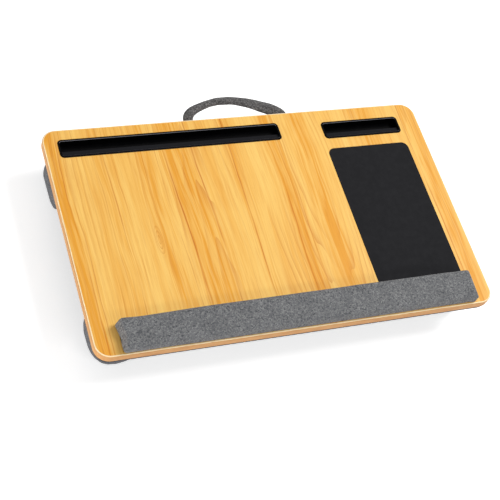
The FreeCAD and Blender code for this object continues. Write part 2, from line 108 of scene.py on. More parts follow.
def smooth_step(low: float, high: float, value: float) -> float:
    """Returns 0 below low, 1 above high, and a smooth rise between them."""
    share = min(max((value - low) / (high - low), 0.0), 1.0)
    return share * share * (3 - 2 * share)


def bell(value: float, middle: float, width: float) -> float:
    """Returns 1 at the middle, falling off to nothing a few widths away."""
    return math.exp(-(((value - middle) / width) ** 2))


@dataclass(frozen=True)
class Mottle:
    """An uneven pattern over a surface.

    Attributes:
        scale: How often it varies in a metre, or in a metre of X, Y and Z.
        detail: How many finer layers it has.
        roughness: How strong they are.
        levels: The levels between which it grows from the first end to the second.
        ends: The results below and above those levels.
    """

    scale: Union[float, Triple]
    detail: float = 2.0
    roughness: float = 0.5
    levels: Pair = (0.0, 1.0)
    ends: Pair = (0.0, 1.0)


# ---- node wiring -------------------------------------------------------------------------------
class Wiring:
    """Adds nodes to one node tree and links them."""

    def __init__(self, tree: bpy.types.NodeTree) -> None:
        """Keeps the tree that nodes are added to."""
        self.tree = tree

    def add(self, kind: str, **settings: object) -> bpy.types.Node:
        """Adds a node and sets its properties.

        Args:
            kind: The node's type name.
            **settings: Properties of the node.

        Returns:
            The new node.
        """
        node = self.tree.nodes.new(kind)
        for name, value in settings.items():
            setattr(node, name, value)
        return node

    def find(self, kind: str) -> bpy.types.Node:
        """Returns the first node of a type that the tree holds."""
        return next(node for node in self.tree.nodes if node.type == kind)

    def feed(self, socket: Socket, value: Value) -> None:
        """Links value into the socket if it is a socket, or else sets it there.

        Args:
            socket: The socket that is fed.
            value: Another node's output, or a fixed value.
        """
        if isinstance(value, bpy.types.NodeSocket):
            self.tree.links.new(value, socket)
        else:
            socket.default_value = value

    def math(self, operation: str, *terms: Value, clamp: bool = False) -> Socket:
        """Adds a maths node.

        Args:
            operation: The node's operation.
            *terms: What it works on.
            clamp: Whether the result is kept within 0 to 1.

        Returns:
            The result.
        """
        node = self.add("ShaderNodeMath", operation=operation, use_clamp=clamp)
        for socket, term in zip(node.inputs, terms):
            self.feed(socket, term)
        return node.outputs[0]

    def times(self, *values: Value) -> Socket:
        """Returns the product of the values."""
        return reduce(partial(self.math, "MULTIPLY"), values)

    def plus(self, *values: Value) -> Socket:
        """Returns the sum of the values."""
        return reduce(partial(self.math, "ADD"), values)

    def minus(self, first: Value, second: Value) -> Socket:
        """Returns the first value less the second."""
        return self.math("SUBTRACT", first, second)

    def raised(self, base: Value, source: Value, factor: float) -> Socket:
        """Returns base with the source added factor times."""
        return self.math("MULTIPLY_ADD", source, factor, base)

    def scaled(self, vector: Socket, factors: Triple) -> Socket:
        """Multiplies each part of a vector by a factor.

        Args:
            vector: The vector.
            factors: The factors for X, Y and Z.

        Returns:
            The scaled vector.
        """
        node = self.add("ShaderNodeVectorMath", operation="MULTIPLY")
        self.feed(node.inputs[0], vector)
        node.inputs[1].default_value = factors
        return node.outputs[0]

    def noise(self, vector: Socket, mottle: Mottle, size: Union[Socket, None] = None) -> Socket:
        """Adds a pattern's noise.

        Args:
            vector: The place that it is read at.
            mottle: The pattern.
            size: How much larger it is, if it has no set size.

        Returns:
            A value of about 0 to 1.
        """
        scale = mottle.scale
        if isinstance(scale, tuple):
            vector, scale = self.scaled(vector, scale), 1.0
        if size is not None:
            scale = self.math("DIVIDE", scale, size)
        node = self.add("ShaderNodeTexNoise")
        self.feed(node.inputs["Vector"], vector)
        self.feed(node.inputs["Scale"], scale)
        node.inputs["Detail"].default_value = mottle.detail
        node.inputs["Roughness"].default_value = mottle.roughness
        return node.outputs["Fac"]

    def shown(self, noise: Socket, mottle: Mottle) -> Socket:
        """Returns a pattern's noise, brought from its levels to its ends."""
        return self.ramp(noise, mottle.levels, *mottle.ends)

    def mottled(self, vector: Socket, mottle: Mottle, size: Union[Socket, None] = None) -> Socket:
        """Returns the pattern at a place, brought from its levels to its ends."""
        return self.shown(self.noise(vector, mottle, size), mottle)

    def ramp(self, value: Socket, levels: Pair, start: float = 0.0, end: float = 1.0) -> Socket:
        """Adds a smooth change from one value to another.

        Args:
            value: What it follows.
            levels: Where the change starts and where it ends.
            start: The result below the first level.
            end: The result above the second.

        Returns:
            The result.
        """
        node = self.add("ShaderNodeMapRange", interpolation_type="SMOOTHSTEP")
        for name, number in zip(("From Min", "From Max", "To Min", "To Max"), (*levels, start, end)):
            node.inputs[name].default_value = number
        self.feed(node.inputs["Value"], value)
        return node.outputs["Result"]

    def parts(self, vector: Socket) -> tuple[Socket, Socket, Socket]:
        """Takes a vector apart.

        Args:
            vector: The vector.

        Returns:
            Its X, Y and Z.
        """
        node = self.add("ShaderNodeSeparateXYZ")
        self.feed(node.inputs[0], vector)
        return tuple(node.outputs)

    def vector(self, *parts: Value) -> Socket:
        """Puts a vector together.

        Args:
            *parts: Its X, Y and Z.

        Returns:
            The vector.
        """
        node = self.add("ShaderNodeCombineXYZ")
        for socket, part in zip(node.inputs, parts):
            self.feed(socket, part)
        return node.outputs[0]

    def mixed(self, share: Value, first: Value, second: Value) -> Socket:
        """Mixes two colours.

        Args:
            share: How much of the second there is, 0 to 1.
            first: The first colour.
            second: The second colour.

        Returns:
            The colour between them.
        """
        node = self.add("ShaderNodeMix", data_type="RGBA")
        for index, value in ((0, share), (6, first), (7, second)):
            self.feed(node.inputs[index], value)
        return node.outputs[2]

    def bump(self, height: Socket, distance: float) -> Socket:
        """Turns a height map into a normal.

        Args:
            height: The height map.
            distance: How high 1 in the map stands.

        Returns:
            The normal.
        """
        node = self.add("ShaderNodeBump")
        node.inputs["Strength"].default_value = 1.0
        node.inputs["Distance"].default_value = distance
        self.feed(node.inputs["Height"], height)
        return node.outputs["Normal"]


# ---- effects shared by several materials ---------------------------------------------------------
class Effect(Enum):
    """The surface effects that materials share, each one node group."""

    GRAIN = "Plain-sawn grain"
    CLOTH = "Melange cloth"
    HANDLING = "Handling marks"
    STIPPLE = "Moulded stipple"
    # A painted highlight along the edge band's top edge.
    RUBBED = "Rubbed edge"


@dataclass(frozen=True)
class Figure:
    """A place on the board where the growth rings close up or arch.

    Attributes:
        x: Middle of the figure across the grain.
        y: Where the tree's heart comes nearest to the surface.
        depth: How far below the surface the heart is there.
        tilt: How fast it dips along the grain.
    """

    x: float
    y: float
    depth: float
    tilt: float


@dataclass(frozen=True)
class Eye:
    """A small closed figure, with rings round it: its place, and its half width and half length."""

    x: float
    y: float
    wide: float
    long: float


@dataclass(frozen=True)
class GrainLine:
    """A line or band that runs with the grain, at x and of the given width."""

    x: float
    width: float
    strength: float


def grain_lines(*rows: Triple) -> tuple[GrainLine, ...]:
    """Returns the lines, each given as its place and width in millimetres and its strength."""
    return tuple(GrainLine(x * MM, width * MM, strength) for x, width, strength in rows)


FIGURES = (
    Figure(x=0.076, y=0.056, depth=0.003, tilt=0.15),
    Figure(x=-0.088, y=-0.330, depth=0.006, tilt=0.07),
    Figure(x=0.250, y=0.300, depth=0.006, tilt=0.06),
)
EYE = Eye(x=-0.161, y=-0.038, wide=0.0046, long=0.019)
MINERAL_LINES = grain_lines(
    (-269.0, 0.9, 0.55), (-261.0, 0.7, 0.7), (-255.0, 0.6, 0.6), (-217.0, 0.6, 0.35), (-203.5, 0.7, 0.7),
    (-192.5, 0.6, 0.5), (-131.0, 0.6, 0.6), (-124.0, 0.5, 0.4), (-118.0, 0.9, 1.0), (-98.5, 0.6, 0.4),
    (-78.0, 1.0, 0.85), (-49.0, 0.5, 0.4), (-26.5, 0.8, 0.9), (-18.0, 0.5, 0.4), (28.0, 0.6, 0.4),
    (34.0, 0.8, 0.7), (51.0, 0.7, 0.6), (59.0, 0.5, 0.4), (142.0, 0.6, 0.4), (180.0, 0.7, 0.5),
    (225.0, 0.6, 0.5), (251.0, 0.8, 0.7), (264.0, 0.6, 0.5),
)
WARM_BANDS = grain_lines(
    (-270.0, 14.0, 0.55), (-206.0, 11.0, 0.2), (-150.0, 13.0, 0.32), (-101.0, 22.0, 0.45), (-24.0, 8.0, 0.2),
    (41.0, 13.0, 0.36), (85.0, 15.0, 0.4), (190.0, 24.0, 0.25), (260.0, 12.0, 0.36),
)


@dataclass(frozen=True)
class GrainPattern:
    """How the grain is drawn.

    Attributes:
        ring_width: Distance from one growth ring to the next.
        wander: How far the grain wanders.
        drift: How it wanders.
        shake: How far its small unevenness reaches.
        shaking: That unevenness.
        eye_hold: How soon the grain closes up again away from the eye.
        eye_parting: How far the eye parts it.
        eye_rings: Rings of the eye for each of its half widths.
        eye_fade: Where the eye's rings fade, as squares of its half width.
        merging: Distance over which one figure runs into another.
        uneven: Rings gained or lost by uneven growth.
        growth: That growth.
        late_power: How narrow a ring's dark late wood is.
        late_end: Share of a ring at which its late wood ends.
        fading: Where the rings fade.
        breaking: Where the mineral lines break.
        stretch: How much the streaks vary along the grain, as a share of across it.
        broad: The broad streaks.
        narrow: The narrow streaks.
        narrow_tone: How strong these are away from the warm bands.
        narrow_gain: How much stronger they are in the bands.
        band_tone: How strong the bands themselves are.
        fibres: The fine fibres.
    """

    ring_width: float = 7.2 * MM
    wander: float = 17.0 * MM
    drift: Mottle = Mottle((9.0, 3.4, 1.0), detail=1)
    shake: float = 4.2 * MM
    shaking: Mottle = Mottle((55.0, 15.0, 1.0), detail=3)
    eye_hold: float = 0.35
    eye_parting: float = 0.55
    eye_rings: float = 2.6
    eye_fade: Pair = (0.5, 2.6)
    merging: float = 30.0 * MM
    uneven: float = 3.0
    growth: Mottle = Mottle((24.0, 1.0, 1.0), detail=3)
    late_power: float = 3.0
    late_end: float = 0.975
    fading: Mottle = Mottle((30.0, 3.0, 1.0), detail=4, levels=(0.44, 0.66), ends=(0.12, 1.0))
    breaking: Mottle = Mottle((80.0, 8.0, 1.0), detail=3, levels=(0.36, 0.6), ends=(0.12, 1.0))
    stretch: float = 0.04
    broad: Mottle = Mottle((42.0, 42.0, 1.0), detail=4, roughness=0.62, levels=(0.38, 0.7), ends=(0.0, 0.5))
    narrow: Mottle = Mottle((250.0, 200.0, 1.0), detail=2, roughness=0.6, levels=(0.42, 0.62))
    narrow_tone: float = 0.16
    narrow_gain: float = 1.3
    band_tone: float = 0.7
    fibres: Mottle = Mottle((640.0, 460.0, 1.0), detail=3, roughness=0.72)


@dataclass(frozen=True)
class WeavePattern:
    """How melange cloth is drawn.

    Attributes:
        yarn: Distance from one yarn to the next.
        over: How high the yarns' crossings stand, against the slubs.
        slubs: The yarn's thick places.
        pale: The pale flecks.
        dark: The dark flecks, turned over so that they lie apart from the pale ones.
        nap: The nap's patches.
    """

    yarn: float = 0.9 * MM
    over: float = 0.35
    slubs: Mottle = Mottle(1300.0, detail=2, roughness=0.6)
    pale: Mottle = Mottle(430.0, detail=3, roughness=0.8, levels=(0.47, 0.62))
    dark: Mottle = Mottle((390.0, -390.0, 390.0), detail=3, roughness=0.8, levels=(0.5, 0.63))
    nap: Mottle = Mottle(34.0, detail=3, roughness=0.6)


@dataclass(frozen=True)
class WearAndHighlightPattern:
    """How use and moulding mark a surface, and where an edge gets a painted highlight.

    Attributes:
        smudges: Smudges from hands.
        scratches: Fine scratches.
        pitch: Distance from one bump of a stipple to the next.
        tone: The stipple's change of tone.
        level: The height above which an edge gets its painted highlight.
        reach: How far above it the painted highlight grows.
        highlight_breakup: What breaks the painted highlight up, with levels for the highlight and its breaks
            together.
    """

    smudges: Mottle = Mottle(22.0, detail=4, roughness=0.6, levels=(0.42, 0.7))
    scratches: Mottle = Mottle((60.0, 1400.0, 400.0), levels=(0.66, 0.74))
    pitch: float = 0.8 * MM
    tone: Mottle = Mottle(90.0, detail=3, roughness=0.65)
    level: float = 65.5 * MM
    reach: float = 0.6 * MM
    highlight_breakup: Mottle = Mottle(70.0, detail=3, roughness=0.6, levels=(0.55, 1.25))


class EffectShop:
    """Builds each shared effect once, as a node group with named sockets."""

    grain = GrainPattern()
    weave = WeavePattern()
    wear_and_highlight = WearAndHighlightPattern()

    def __init__(self) -> None:
        """Starts with no group made."""
        self.made: dict[Effect, bpy.types.NodeTree] = {}

    def group(self, effect: Effect) -> bpy.types.NodeTree:
        """Finds an effect's node group, and makes it the first time.

        Args:
            effect: Which effect.

        Returns:
            Its node group.
        """
        if effect not in self.made:
            recipes = {
                Effect.GRAIN: self._grain,
                Effect.CLOTH: self._cloth,
                Effect.HANDLING: self._handling,
                Effect.STIPPLE: self._stipple,
                Effect.RUBBED: self._edge_highlight,
            }
            self.made[effect] = recipes[effect]()
        return self.made[effect]

    def place(self, wiring: Wiring, effect: Effect, **inputs: Value) -> bpy.types.NodeOutputs:
        """Puts the effect into a material.

        Args:
            wiring: The material's wiring.
            effect: Which effect.
            **inputs: Values for its sockets, with _ for each space in their names.

        Returns:
            The effect's outputs.
        """
        node = wiring.add("ShaderNodeGroup", node_tree=self.group(effect))
        for name, value in inputs.items():
            wiring.feed(node.inputs[name.replace("_", " ")], value)
        return node.outputs

    @staticmethod
    def _open(
        effect: Effect, vectors: Sequence[str], numbers: dict[str, float], outputs: Sequence[str]
    ) -> tuple[Wiring, dict[str, Socket], dict[str, Socket]]:
        """Starts a node group.

        Args:
            effect: The effect that it makes.
            vectors: The vector inputs' names.
            numbers: Each number input's name and value.
            outputs: The outputs' names.

        Returns:
            The group's wiring, and its inputs and outputs by name.
        """
        tree = bpy.data.node_groups.new(effect.value, "ShaderNodeTree")
        for title in vectors:
            tree.interface.new_socket(title, in_out="INPUT", socket_type="NodeSocketVector")
        for title, value in numbers.items():
            socket = tree.interface.new_socket(title, in_out="INPUT", socket_type="NodeSocketFloat")
            socket.default_value = value
        for title in outputs:
            tree.interface.new_socket(title, in_out="OUTPUT", socket_type="NodeSocketFloat")
        wiring = Wiring(tree)
        source = wiring.add("NodeGroupInput").outputs
        target = wiring.add("NodeGroupOutput").inputs
        given = {title: source[title] for title in (*vectors, *numbers)}
        return wiring, given, {title: target[title] for title in outputs}

    def _grain(self) -> bpy.types.NodeTree:
        """Draws growth rings round the figures, streaks, mineral lines and fine fibres along Y.

        Returns:
            The node group.
        """
        p = self.grain
        w, given, out = self._open(
            Effect.GRAIN,
            ("Vector",),
            {"Ring Width": p.ring_width, "Wander": p.wander},
            ("Rings", "Streaks", "Lines", "Fibres"),
        )
        place = given["Vector"]
        x, y, _ = w.parts(place)
        drift = w.minus(w.noise(place, p.drift), 0.5)
        shake = w.minus(w.noise(place, p.shaking), 0.5)
        across = w.plus(x, w.times(drift, given["Wander"]), w.times(shake, p.shake))
        side, along = w.minus(x, EYE.x), w.minus(y, EYE.y)
        wide, tall = w.math("DIVIDE", side, EYE.wide), w.math("DIVIDE", along, EYE.long)
        ring = w.plus(w.times(wide, wide), w.times(tall, tall))
        parted = w.math("EXPONENT", w.times(ring, -p.eye_hold))
        across = w.minus(across, w.times(side, parted, p.eye_parting))
        turns = w.math("DIVIDE", self._heart(w, across, y), given["Ring Width"])
        turns = w.plus(turns, w.times(w.noise(place, p.growth), p.uneven))
        phase = w.math("FRACT", turns)
        late = w.times(w.math("POWER", phase, p.late_power), w.ramp(phase, (p.late_end, 1.0), 1.0, 0.0))
        closed = w.math("FRACT", w.times(w.math("SQRT", ring), p.eye_rings))
        closed = w.times(w.math("POWER", closed, 2.0), w.ramp(ring, p.eye_fade, 1.0, 0.0))
        w.feed(out["Rings"], w.math("MAXIMUM", w.times(late, w.mottled(place, p.fading)), closed))
        steady = w.vector(across, w.times(y, p.stretch), 0.0)
        bands = self._lines(w, across, WARM_BANDS)
        broad = w.mottled(steady, p.broad)
        narrow = w.times(w.mottled(steady, p.narrow), w.raised(p.narrow_tone, bands, p.narrow_gain))
        bands = w.times(bands, p.band_tone)
        w.feed(out["Streaks"], w.math("ADD", w.plus(broad, narrow), bands, clamp=True))
        lines = self._lines(w, across, MINERAL_LINES)
        w.feed(out["Lines"], w.times(lines, w.mottled(place, p.breaking)))
        w.feed(out["Fibres"], w.noise(steady, p.fibres))
        return w.tree

    def _heart(self, w: Wiring, across: Socket, y: Socket) -> Socket:
        """Measures how far a place is from the tree's heart.

        Args:
            w: The group's wiring.
            across: The place across the grain.
            y: The place along it.

        Returns:
            The distance to the nearest figure's heart, smooth between figures.
        """
        hearts = []
        for figure in FIGURES:
            off = w.minus(across, figure.x)
            dip = w.times(w.minus(y, figure.y), figure.tilt)
            dip = w.plus(w.math("ABSOLUTE", dip), figure.depth)
            hearts.append(w.math("SQRT", w.plus(w.times(off, off), w.times(dip, dip))))
        return reduce(lambda near, far: w.math("SMOOTH_MIN", near, far, self.grain.merging), hearts)

    @staticmethod
    def _lines(w: Wiring, across: Socket, lines: Sequence[GrainLine]) -> Socket:
        """Draws lines that run with the grain.

        Args:
            w: The group's wiring.
            across: The place across the grain.
            lines: The lines.

        Returns:
            How strongly the strongest of them shows there.
        """
        shown = []
        for line in lines:
            off = w.math("DIVIDE", w.minus(across, line.x), line.width)
            shown.append(w.times(w.math("EXPONENT", w.times(off, off, -1.0)), line.strength))
        return reduce(partial(w.math, "MAXIMUM"), shown)

    def _cloth(self) -> bpy.types.NodeTree:
        """Draws a plain weave of melange yarn: its height, pale and dark flecks, and nap.

        Returns:
            The node group.
        """
        p = self.weave
        w, given, out = self._open(
            Effect.CLOTH,
            ("Vector", "Weave Map"),
            {"Yarn": p.yarn},
            ("Weave", "Pale Fleck", "Dark Fleck", "Nap"),
        )
        place = given["Vector"]
        u, v, _ = w.parts(given["Weave Map"])
        turn = w.math("DIVIDE", math.pi, given["Yarn"])
        warp, weft = (w.math("SINE", w.times(run, turn)) for run in (u, v))
        w.feed(out["Weave"], w.plus(w.times(warp, weft, p.over), w.noise(place, p.slubs)))
        w.feed(out["Pale Fleck"], w.mottled(place, p.pale))
        w.feed(out["Dark Fleck"], w.mottled(place, p.dark))
        w.feed(out["Nap"], w.noise(place, p.nap))
        return w.tree

    def _handling(self) -> bpy.types.NodeTree:
        """Draws faint smudges and fine scratches left by hands and devices.

        Returns:
            The node group.
        """
        p = self.wear_and_highlight
        w, given, out = self._open(Effect.HANDLING, ("Vector",), {"Size": 1.0}, ("Smudge", "Scratch"))
        place = given["Vector"]
        w.feed(out["Smudge"], w.mottled(place, p.smudges, given["Size"]))
        w.feed(out["Scratch"], w.mottled(place, p.scratches))
        return w.tree

    def _stipple(self) -> bpy.types.NodeTree:
        """Draws the fine raised grain of a moulded or coated surface.

        Returns:
            The node group.
        """
        p = self.wear_and_highlight
        w, given, out = self._open(Effect.STIPPLE, ("Vector",), {"Pitch": p.pitch}, ("Height", "Tone"))
        cells = w.add("ShaderNodeTexVoronoi", feature="SMOOTH_F1")
        w.feed(cells.inputs["Vector"], given["Vector"])
        w.feed(cells.inputs["Scale"], w.math("DIVIDE", 1.0, given["Pitch"]))
        w.feed(out["Height"], cells.outputs["Distance"])
        w.feed(out["Tone"], w.noise(given["Vector"], p.tone))
        return w.tree

    def _edge_highlight(self) -> bpy.types.NodeTree:
        """Draws the mask of a painted highlight along an edge, broken up along the edge.

        Returns:
            The node group.
        """
        p = self.wear_and_highlight
        numbers = {"Level": p.level, "Reach": p.reach}
        w, given, out = self._open(Effect.RUBBED, ("Vector",), numbers, ("Mask",))
        _, _, z = w.parts(given["Vector"])
        share = w.math("DIVIDE", w.minus(z, given["Level"]), given["Reach"])
        broken = w.noise(given["Vector"], p.highlight_breakup)
        w.feed(out["Mask"], w.shown(w.plus(share, broken), p.highlight_breakup))
        return w.tree


SHOP = EffectShop()


# ---- finishes --------------------------------------------------------------------------------------
@dataclass(frozen=True)
class Finish:
    """What every finish has.

    In the finishes, a share says how strongly a thing shows, levels between which noise levels it
    does, and relief how high it stands. What is smudged or dulled is so much duller.

    Attributes:
        name: The material's name.
        roughness: The surface's roughness, before anything varies it.
    """

    name: str
    roughness: float

    def open(self) -> tuple[bpy.types.Material, Wiring, bpy.types.NodeInputs, Socket]:
        """Starts the material.

        Returns:
            The material, its wiring, its Principled shader's inputs, and the object's own
            coordinates.
        """
        material = bpy.data.materials.new(self.name)
        material.use_nodes = True
        wiring = Wiring(material.node_tree)
        surface = wiring.find("BSDF_PRINCIPLED").inputs
        surface["Roughness"].default_value = self.roughness
        place = wiring.add("ShaderNodeTexCoord").outputs["Object"]
        return material, wiring, surface, place

    def make(self) -> bpy.types.Material:
        """Returns the finished material."""
        raise NotImplementedError


@dataclass(frozen=True)
class WoodFinish(Finish):
    """Printed wood laminate under a thin coat, pale with darker streaks, rings and lines.

    Attributes:
        pale: The colour between the streaks.
        warm: The streaks' colour.
        dark: The colour of rings, lines and fibres.
    """

    pale: Colour
    warm: Colour
    dark: Colour
    ring_share: float = 0.5
    line_share: float = 0.95
    fibre_share: float = 0.24
    fibre_levels: Pair = (0.4, 0.75)
    smudged: float = 0.08
    coat: float = 0.04
    coat_roughness: float = 0.32
    specular: float = 0.2
    relief: float = 0.03 * MM

    def make(self) -> bpy.types.Material:
        """Makes the laminate's material.

        Returns:
            The material.
        """
        material, w, surface, place = self.open()
        grain = SHOP.place(w, Effect.GRAIN, Vector=place)
        marks = SHOP.place(w, Effect.HANDLING, Vector=place)
        tone = w.mixed(grain["Streaks"], self.pale, self.warm)
        tone = w.mixed(w.times(grain["Rings"], self.ring_share), tone, self.dark)
        tone = w.mixed(w.times(grain["Lines"], self.line_share), tone, self.dark)
        fibre = w.ramp(grain["Fibres"], self.fibre_levels, 0.0, self.fibre_share)
        w.feed(surface["Base Color"], w.mixed(fibre, tone, self.dark))
        w.feed(surface["Roughness"], w.raised(self.roughness, marks["Smudge"], self.smudged))
        w.feed(surface["Coat Weight"], self.coat)
        w.feed(surface["Coat Roughness"], self.coat_roughness)
        w.feed(surface["Specular IOR Level"], self.specular)
        w.feed(surface["Normal"], w.bump(grain["Fibres"], self.relief))
        return material


@dataclass(frozen=True)
class BandFinish(Finish):
    """The board's edge band: printed wood with a painted highlight along its upper edge.

    Attributes:
        face: The band's colour.
        line: The colour of its grain and of its darker patches.
        highlight_colour: The colour of the painted highlight along its upper edge.
        highlight_depth: How far below the band's top the painted highlight starts.
        highlight_reach: How far above that it grows.
    """

    face: Colour
    line: Colour
    highlight_colour: Colour
    grain: Mottle = Mottle((16.0, 16.0, 900.0), detail=3, roughness=0.6, levels=(0.42, 0.7))
    patches: Mottle = Mottle((45.0, 45.0, 120.0), levels=(0.4, 0.8), ends=(0.0, 0.4))
    patch_dulled: float = 0.12
    highlight_depth: float = 1.0 * MM
    highlight_reach: float = 0.8 * MM
    relief: float = 0.05 * MM

    def make(self) -> bpy.types.Material:
        """Makes the edge band's material.

        Returns:
            The material.
        """
        material, w, surface, place = self.open()
        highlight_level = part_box("edge_band")[1].z - self.highlight_depth
        grain, patches = w.noise(place, self.grain), w.noise(place, self.patches)
        tone = w.mixed(w.shown(grain, self.grain), self.face, self.line)
        tone = w.mixed(w.shown(patches, self.patches), tone, self.line)
        # Painted highlight: a near-white line along the band's eased top edge.
        painted_highlight = SHOP.place(w, Effect.RUBBED, Vector=place, Level=highlight_level, Reach=self.highlight_reach)
        w.feed(surface["Base Color"], w.mixed(painted_highlight["Mask"], tone, self.highlight_colour))
        w.feed(surface["Roughness"], w.raised(self.roughness, patches, self.patch_dulled))
        w.feed(surface["Normal"], w.bump(grain, self.relief))
        return material


@dataclass(frozen=True)
class ClothFinish(Finish):
    """Melange cloth, woven from yarns of two greys.

    Attributes:
        yarn: The yarn's colour.
        pale: The pale flecks' colour.
        dark: The colour of the dark flecks and of the laid nap.
        pitch: Distance from one yarn to the next.
    """

    yarn: Colour
    pale: Colour
    dark: Colour
    pitch: float = 0.9 * MM
    pale_share: float = 0.7
    dark_share: float = 0.75
    nap_levels: Pair = (0.3, 0.75)
    nap_share: float = 0.25
    nap_dulled: float = 0.1
    sheen: float = 0.1
    sheen_roughness: float = 0.5
    specular: float = 0.2
    relief: float = 0.22 * MM

    def make(self) -> bpy.types.Material:
        """Makes the cloth's material, whose weave follows the piece's UV map.

        Returns:
            The material.
        """
        material, w, surface, place = self.open()
        laid = w.add("ShaderNodeUVMap").outputs["UV"]
        cloth = SHOP.place(w, Effect.CLOTH, Vector=place, Weave_Map=laid, Yarn=self.pitch)
        tone = w.mixed(w.times(cloth["Pale Fleck"], self.pale_share), self.yarn, self.pale)
        tone = w.mixed(w.times(cloth["Dark Fleck"], self.dark_share), tone, self.dark)
        tone = w.mixed(w.ramp(cloth["Nap"], self.nap_levels, 0.0, self.nap_share), tone, self.dark)
        w.feed(surface["Base Color"], tone)
        w.feed(surface["Roughness"], w.raised(self.roughness, cloth["Nap"], self.nap_dulled))
        w.feed(surface["Sheen Weight"], self.sheen)
        w.feed(surface["Sheen Roughness"], self.sheen_roughness)
        w.feed(surface["Specular IOR Level"], self.specular)
        w.feed(surface["Normal"], w.bump(cloth["Weave"], self.relief))
        return material


@dataclass(frozen=True)
class MouldedFinish(Finish):
    """Moulded plastic or coated sheet with a fine stipple and handling marks.

    Attributes:
        tone: The sheet's colour.
        marked: Its colour where it is marked, and on the stipple's tops.
        pitch: Distance from one bump of the stipple to the next.
        mark_size: How large its smudges are.
    """

    tone: Colour
    marked: Colour
    pitch: float
    relief: float
    specular: float
    mark_size: float = 1.6
    top_levels: Pair = (0.35, 0.7)
    top_share: float = 0.6
    scratch_share: float = 0.3
    smudged: float = 0.08

    def make(self) -> bpy.types.Material:
        """Makes the moulded material.

        Returns:
            The material.
        """
        material, w, surface, place = self.open()
        stipple = SHOP.place(w, Effect.STIPPLE, Vector=place, Pitch=self.pitch)
        marks = SHOP.place(w, Effect.HANDLING, Vector=place, Size=self.mark_size)
        tone = w.mixed(w.ramp(stipple["Tone"], self.top_levels, 0.0, self.top_share), self.tone, self.marked)
        tone = w.mixed(w.times(marks["Scratch"], self.scratch_share), tone, self.marked)
        dull = w.raised(self.roughness, marks["Smudge"], self.smudged)
        tone, dull = self.parted(w, place, tone, dull)
        w.feed(surface["Base Color"], tone)
        w.feed(surface["Roughness"], dull)
        w.feed(surface["Specular IOR Level"], self.specular)
        w.feed(surface["Normal"], w.bump(stipple["Height"], self.relief))
        return material

    def parted(self, w: Wiring, place: Socket, tone: Socket, dull: Socket) -> tuple[Socket, Socket]:
        """Returns the tone and roughness, which a kind of moulding may change on some of its faces."""
        return tone, dull


@dataclass(frozen=True)
class TrayFinish(MouldedFinish):
    """The trays' moulded plastic, with matt ledges painted a lighter grey as if lit, and a painted glint on
    the eased edges inside the rims.

    Attributes:
        painted_ledge_light: The ledges' colour, a lighter grey painted to stand for the light that falls on
            them.
        bed_levels: The heights between which level faces are ledges.
        bed_fade: How far below and above those heights the ledges fade out.
        bed_dulled: How much duller they are.
        painted_highlight: The colour of the painted glint on the eased edges inside the rims.
        glint_rise: How far above the ledges that colour grows.
        middle: The depth at the middle of the rims, which those edges face.
        inner: How far from the middle the edges are, as a depth times their lean to it.
        level: How level a face has to be to count as level.
        leaning: How level a face has to be to count as an eased edge.
    """

    painted_ledge_light: Colour = BLACK
    bed_levels: Pair = (63.4 * MM, 66.4 * MM)
    bed_fade: Pair = (1.0 * MM, 0.3 * MM)
    bed_dulled: float = 0.35
    painted_highlight: Colour = BLACK
    glint_rise: float = 0.6 * MM
    middle: float = 114.0 * MM
    inner: Pair = (1.0 * MM, 4.0 * MM)
    level: Pair = (0.8, 0.92)
    leaning: Pair = (0.4, 0.6)

    def parted(self, w: Wiring, place: Socket, tone: Socket, dull: Socket) -> tuple[Socket, Socket]:
        """Paints light on the ledges and a glint on the eased edges, and makes the ledges more matt.

        Args:
            w: The material's wiring.
            place: The object's own coordinates.
            tone: The plastic's colour.
            dull: Its roughness.

        Returns:
            The colour and the roughness.
        """
        _, depth, height = w.parts(place)
        _, facing, level = w.parts(w.add("ShaderNodeNewGeometry").outputs["Normal"])
        # Painted light: level faces at the ledges' heights get a lighter grey, standing in for the light
        # falling on them, and a more matt finish.
        low, high = self.bed_levels
        under, over = self.bed_fade
        within = w.times(w.ramp(height, (low - under, low)), w.ramp(height, (high, high + over), 1.0, 0.0))
        painted_ledge_light = w.times(within, w.ramp(level, self.level))
        # Painted highlight: a light grey glint on the eased edges inside the rims that face the rim's
        # middle.
        inward = w.times(w.minus(self.middle, depth), facing)
        glint_mask = w.times(w.ramp(level, self.leaning), w.ramp(level, self.level, 1.0, 0.0))
        risen = w.ramp(height, (high, high + self.glint_rise))
        glint_mask = w.times(glint_mask, risen, w.ramp(inward, self.inner))
        tone = w.mixed(glint_mask, w.mixed(painted_ledge_light, tone, self.painted_ledge_light), self.painted_highlight)
        return tone, w.raised(dull, painted_ledge_light, self.bed_dulled)


@dataclass(frozen=True)
class FibreFinish(Finish):
    """Pressed fibre, foam, glue or bead: a tone broken up by a coarser one.

    Attributes:
        tone: The stuff's colour.
        broken: The colour that breaks it up, and that of its smudges.
        scale: How often that varies in a metre.
        mark_size: How large its smudges are.
    """

    tone: Colour
    broken: Colour
    scale: float
    relief: float
    mark_size: float = 2.0
    smudge_share: float = 0.25

    def make(self) -> bpy.types.Material:
        """Makes the fibre material.

        Returns:
            The material.
        """
        material, w, surface, place = self.open()
        pattern = Mottle(self.scale, detail=4, roughness=0.7, levels=(0.35, 0.65))
        coarse = w.noise(place, pattern)
        marks = SHOP.place(w, Effect.HANDLING, Vector=place, Size=self.mark_size)
        tone = w.mixed(w.shown(coarse, pattern), self.tone, self.broken)
        tone = w.mixed(w.times(marks["Smudge"], self.smudge_share), tone, self.broken)
        w.feed(surface["Base Color"], tone)
        w.feed(surface["Normal"], w.bump(coarse, self.relief))
        return material


